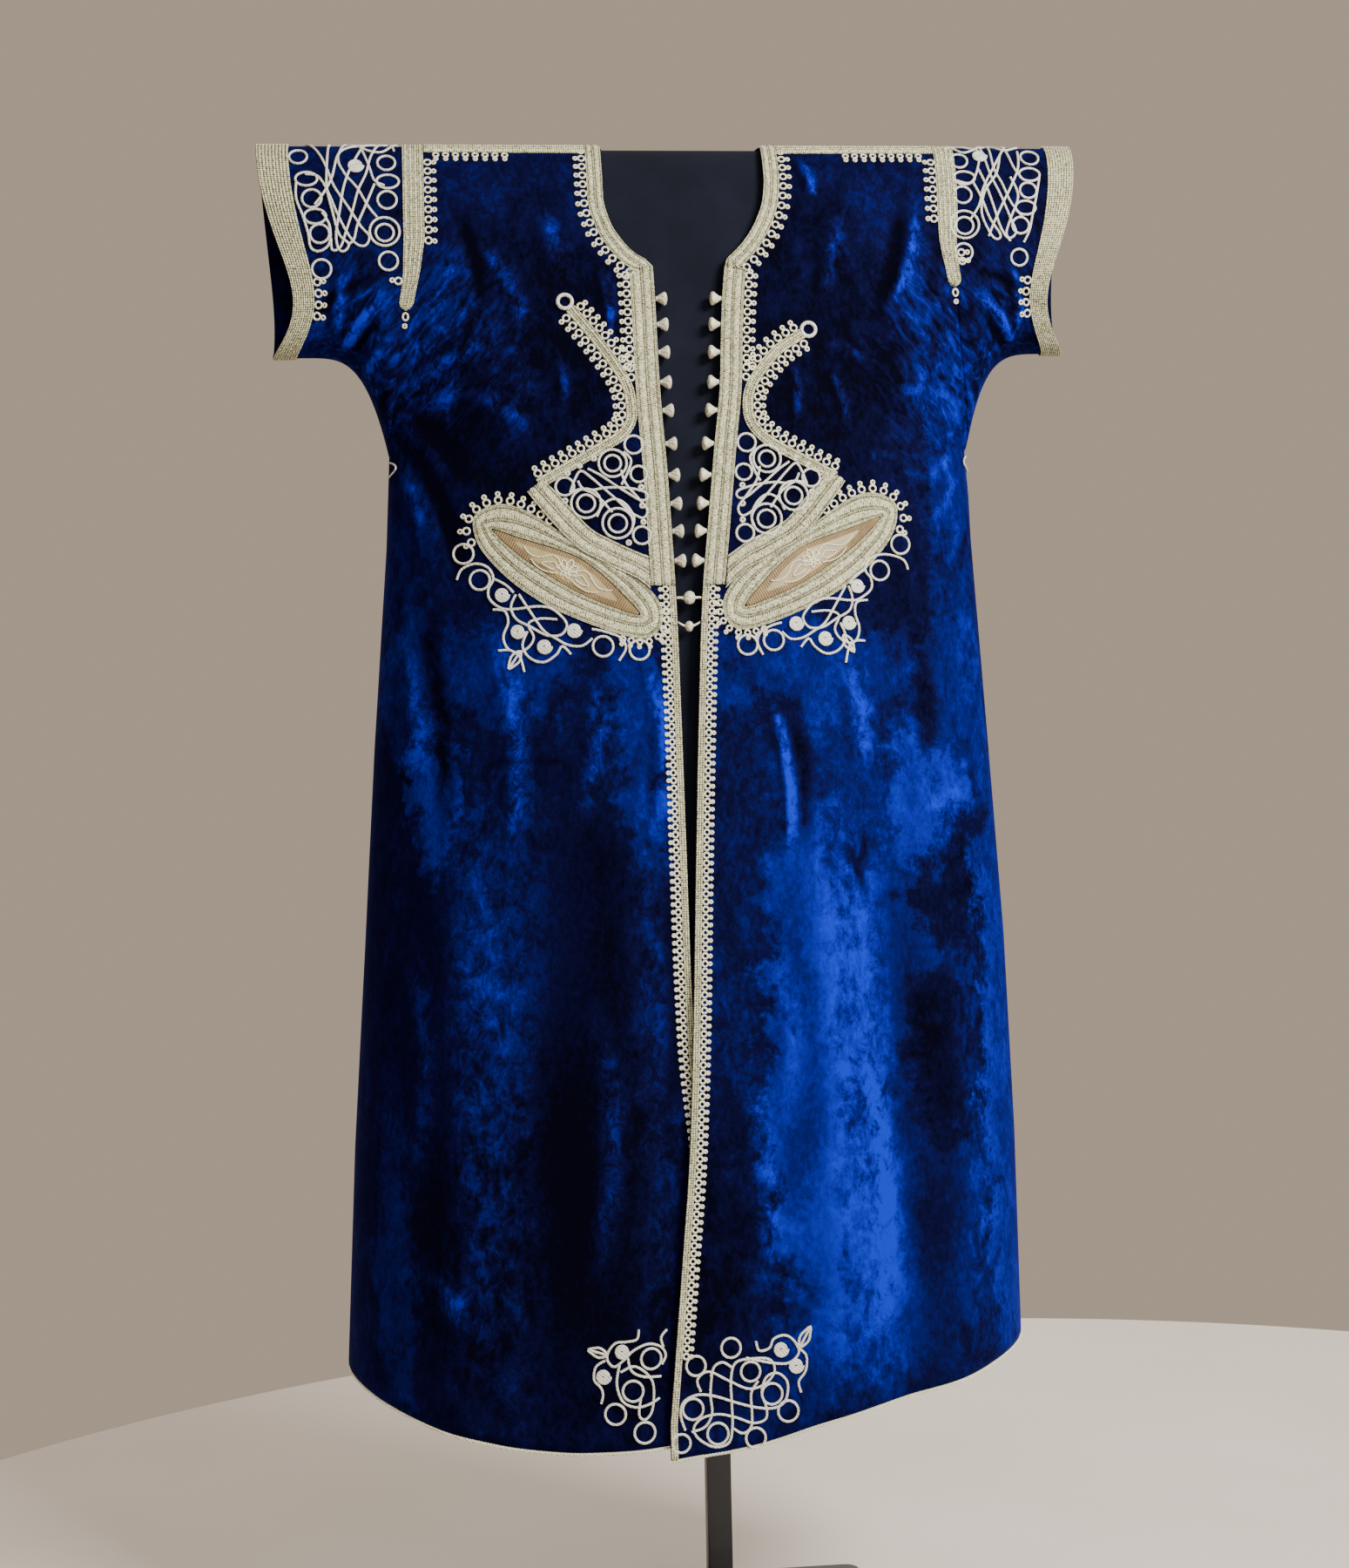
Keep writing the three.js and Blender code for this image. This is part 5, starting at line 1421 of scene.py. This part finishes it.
# ---- rings, loops, hem cords and knots
KNOT_DROPS = [162, 188, 216, 246, 274, 307, 338, 366, 393, 422]
CLOSING_KNOT_DROPS = [458, 482]
KNOT_LENGTH = 11.6
KNOT_PROFILE = ([0, 2, 4.5, 7, 9, 10.4, 11.2, 11.6], [2.2, 2.7, 4.6, 6.2, 6.6, 5.6, 3.6, 1.0])
CLOSING_KNOT_PROFILES = [
    ([0, 0.26, 0.34, 0.46, 0.58, 0.7, 0.76, 1], [1.2, 1.3, 4.8, 6.6, 6.6, 4.8, 1.3, 1.2]),
    ([0, 0.3, 0.38, 0.5, 0.62, 0.7, 1], [1.1, 1.2, 4.4, 5.6, 4.4, 1.2, 1.1]),
]


def branch_ring(side):
    x, s = BRANCH_RING[side]
    run = (on_top(ring_places(x, s, 7, 40), 1.6), True)
    obj = cords("branch_ring_" + SIDE_NAMES[side] + "_cord", [run], 1.9, CORD, sides_step=3)
    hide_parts("branch_ring_" + SIDE_NAMES[side])


def belt_loop(side):
    """A thin thread loop that lies on the front beside the side seam."""
    bow = np.sin(np.linspace(0, math.pi, 40))
    drop = np.linspace(314, 330, 40)
    x = body_middle(drop) + side * (body_half(drop) - 0.8 - 9 * bow)
    run = (on_cloth(x, drop, 1.0 + 2.2 * bow, FRONT), False)
    obj = cords("belt_loop_" + SIDE_NAMES[side] + "_cord", [run], 0.9, CORD, sides_step=3)
    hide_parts("belt_loop_" + SIDE_NAMES[side])


def twisted(points, radius, pitch):
    """Two strands laid round each other along a run of points."""
    reach = run_length(points) / MM
    steps = np.arange(0, reach[-1], pitch / 6)
    centre = at_steps(points, reach, steps)
    way = np.gradient(centre, axis=0)
    way /= np.linalg.norm(way, axis=1)[:, None]
    beside = np.cross(way, (0, 0, 1))
    beside /= np.linalg.norm(beside, axis=1)[:, None]
    above = np.cross(beside, way)
    angle = 2 * math.pi * steps / pitch
    strand = radius * (beside * np.cos(angle)[:, None] + above * np.sin(angle)[:, None])
    return [(centre + strand, False), (centre - strand, False)]


def hem_cord(node, x, s, face, behind=False):
    edge = on_cloth(x, s, -VELVET_WALL / 2, face, behind)
    edge[:, 2] -= 1.9
    obj = cords("hem_" + node + "_cord", twisted(edge, 0.85, 6.0), 0.85, GOLD_CORD)
    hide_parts("hem_" + node)


def hem_cords():
    for side in (LEFT, RIGHT):
        out = np.sin(np.linspace(0, math.pi / 2 - 0.06, 90))
        s = hem_drop(side, out)
        seam = body_middle(s) + side * body_half(s)
        x = front_edge(side, s) + (seam - front_edge(side, s)) * out
        hem_cord("front_" + SIDE_NAMES[side], x, s, FRONT, side == LEFT)
    out = np.sin(np.linspace(-math.pi / 2 + 0.06, math.pi / 2 - 0.06, 180))
    low = np.where(out < 0, HEM[LEFT][1][-1], HEM[RIGHT][1][-1])
    s = BACK_HEM_MIDDLE + (low - BACK_HEM_MIDDLE) * out**2
    hem_cord("back", body_middle(s) + body_half(s) * out, s, BACK)


def knot_mesh(start, way, length, profile, sag=0.0):
    """A button knotted from thread: a run of rings whose lobes twist along it."""
    along = np.linspace(0, 1, 37)[:, None]
    angle = np.linspace(0, 2 * math.pi, 25)[None, :]
    radius = np.interp(along * profile[0][-1], *profile)
    lobes = 0.05 * np.cos(4 * angle + 7 * along) + 0.035 * np.cos(14 * angle - 30 * along)
    radius = radius * (1 + lobes * np.clip(radius / 4 - 0.5, 0, 1))
    beside = np.cross(way, (0, 0, 1.0))
    above = np.cross(beside, way)
    spread = beside * np.cos(angle)[..., None] + above * np.sin(angle)[..., None]
    points = start + way * length * along[..., None] + radius[..., None] * spread
    points[..., 2] -= sag * np.sin(math.pi * along)
    return grid_mesh(points, wrap=True)


def edge_point(side, s):
    x, drop = front_edge(side, np.array([s])), np.array([float(s)])
    point = on_cloth(x, drop, -CLOTH / 2, FRONT, side == LEFT)[0]
    point[0] -= side * 0.6
    return point


def knots(name, start, end, profile, sag=0.0):
    length = np.linalg.norm(end - start)
    bm = knot_mesh(start, (end - start) / length, length, profile, sag)
    bmesh.ops.holes_fill(bm, edges=bm.edges, sides=0)
    bmesh.ops.recalc_face_normals(bm, faces=bm.faces)
    return stands_for(piece_from(name + "_thread", bm, KNOT_THREAD), name)


def all_knots():
    for side in (LEFT, RIGHT):
        for i, s in enumerate(KNOT_DROPS):
            start = edge_point(side, s)
            knots(f"knot_{SIDE_NAMES[side]}_{i + 1}", start, start - (side * KNOT_LENGTH, 0, 0), KNOT_PROFILE)
    for i, (s, profile, sag) in enumerate(zip(CLOSING_KNOT_DROPS, CLOSING_KNOT_PROFILES, (0, 4))):
        knots(f"knot_closed_{i + 1}", edge_point(LEFT, s), edge_point(RIGHT, s), profile, sag)


# ---- the form and its stand
FORM_DROP = [3, 4.2, 7, 16, 36, 70, 130, 210, 308, 420, 560, 700, 752, 768]
FORM_HALF = [247, 250, 252, 253, 254, 254, 255, 257, 264, 272, 284, 296, 296, 284]
FORM_SWELL = [1, 1, 1, 1, 1, 1, 1, 1, 1, 1, 1, 1, 0.97, 0.86]


def form():
    s = 3 + 765 * (np.linspace(0, 1, 90)[:, None] ** 1.7)
    angle = np.linspace(0, 2 * math.pi, 121)[None, :]
    c, d = np.cos(angle), np.sin(angle)
    half, swell = np.interp(s, FORM_DROP, FORM_HALF), np.interp(s, FORM_DROP, FORM_SWELL)
    depth = np.maximum(1, hanging_depth(s - 1.5) * np.where(d > 0, BACK_SHARE, 1) * 0.91 - 4) * swell
    power = 2 / 2.6
    x = body_middle(s) + half * np.sign(c) * np.abs(c) ** power
    y = depth * np.sign(d) * np.abs(d) ** power
    points = np.stack(np.broadcast_arrays(x, y, SHOULDER_HEIGHT - s), -1)
    bm = grid_mesh(points, wrap=True)
    bmesh.ops.holes_fill(bm, edges=bm.edges, sides=0)
    bmesh.ops.recalc_face_normals(bm, faces=bm.faces)
    obj = stands_for(piece_from("form_cover", bm, JERSEY), "form")


def block(name, node, rounding, corner=0):
    """A box in the place of a solid one, its edges rounded and its upright corners cut to a radius."""
    bm = bmesh.new()
    low, high = (Vector(v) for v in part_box(node))
    place = Matrix.Translation((low + high) / 2) @ Matrix.Diagonal((*(high - low), 1))
    bmesh.ops.create_cube(bm, size=1, matrix=place)
    edges = list(bm.edges)
    if corner:
        upright = [e for e in bm.edges if abs(e.verts[0].co.z - e.verts[1].co.z) > 1e-4]
        bevel(bm, upright, corner, 8)
        edges = list({e for f in bm.faces if abs(f.normal.z) > 0.9 for e in f.edges})
    bevel(bm, edges, rounding, 3)
    stands_for(piece_from(name, bm, PAINT), node)


def bevel(bm, edges, offset, segments):
    bmesh.ops.bevel(
        bm, geom=edges, offset=offset * MM, segments=segments, profile=0.5, affect="EDGES", material=-1
    )


def post_and_base():
    block("post_paint", "post", 1.6)
    block("base_paint", "base", 1.2, corner=14)
    for side in ("left", "right"):
        bpy.data.objects["arm_" + side].material_slots[0].material = PAINT


for side in (LEFT, RIGHT):
    branch_ring(side)
    belt_loop(side)
hem_cords()
all_knots()
form()
post_and_base()


# ---- floor, light and camera
def floor():
    plain = Finish("pale_floor", Roughness=0.75)
    grain = plain.noise(plain.place(), 3.0, 3.0)
    plain.feed(Base_Color=plain.ramp(grain, [(0.3, colour(208, 200, 190)), (0.8, colour(216, 208, 199))]))
    bm = bmesh.new()
    place = Matrix.Translation((0.31, -0.47, 0))
    bmesh.ops.create_circle(bm, cap_ends=True, segments=192, radius=1.64, matrix=place)
    mesh = bpy.data.meshes.new("floor")
    bm.to_mesh(mesh)
    bm.free()
    mesh.materials.append(plain.material)
    obj = bpy.data.objects.new("floor", mesh)
    bpy.context.scene.collection.objects.link(obj)


def light(name, place, aim, power, size, tint):
    lamp = bpy.data.lights.new(name, "AREA")
    lamp.shape = "RECTANGLE"
    lamp.size, lamp.size_y = size
    lamp.energy, lamp.color = power, tint
    obj = bpy.data.objects.new(name, lamp)
    way = Vector(aim) - Vector(place)
    obj.matrix_world = Matrix.Translation(place) @ way.to_track_quat("-Z", "Y").to_matrix().to_4x4()
    bpy.context.scene.collection.objects.link(obj)


def studio():
    world = bpy.data.worlds.new("studio")
    world.use_nodes = True
    sky = world.node_tree.nodes["Background"]
    sky.inputs["Color"].default_value = (0.54, 0.43, 0.33, 1)
    sky.inputs["Strength"].default_value = 0.8
    bpy.context.scene.world = world
    light("key", (1.7, -2.1, 2.7), (0.05, 0, 0.9), 200, (1.2, 0.9), (1.0, 0.97, 0.93))
    light("fill", (0.2, -3.2, 1.3), (0, 0, 0.9), 34, (1.6, 1.6), (0.97, 0.98, 1.0))
    light("rear", (0.6, 2.4, 2.2), (0, 0, 1.0), 60, (2.0, 1.4), (1.0, 0.96, 0.9))


def camera():
    lens = bpy.data.cameras.new("camera")
    lens.lens, lens.sensor_width, lens.clip_end = 54.54, 36, 100
    obj = bpy.data.objects.new("camera", lens)
    right = (0.99422, -0.10527, -0.02093)
    up = (0.02466, 0.03425, 0.99911)
    back = (-0.10446, -0.99385, 0.03664)
    turn = Matrix((right, up, back)).transposed().to_4x4()
    obj.matrix_world = Matrix.Translation((-0.2709, -2.4068, 0.9661)) @ turn
    bpy.context.scene.collection.objects.link(obj)
    bpy.context.scene.camera = obj


floor()
studio()
camera()

# ---- what each panel was cut to, in metres: width, length and area
CUTS = {
    "back": ((0.72, 1.26), 0.85),
    ("front", LEFT): ((0.40, 1.30), 0.44),
    ("front", RIGHT): ((0.40, 1.30), 0.45),
    ("sleeve", LEFT): ((0.64, 0.15), 0.073),
    ("sleeve", RIGHT): ((0.64, 0.15), 0.066),
}
for key, (size, area) in CUTS.items():
    carrier = "form_cover" if key == "back" or key[0] == "front" else "arm_" + SIDE_NAMES[key[1]]
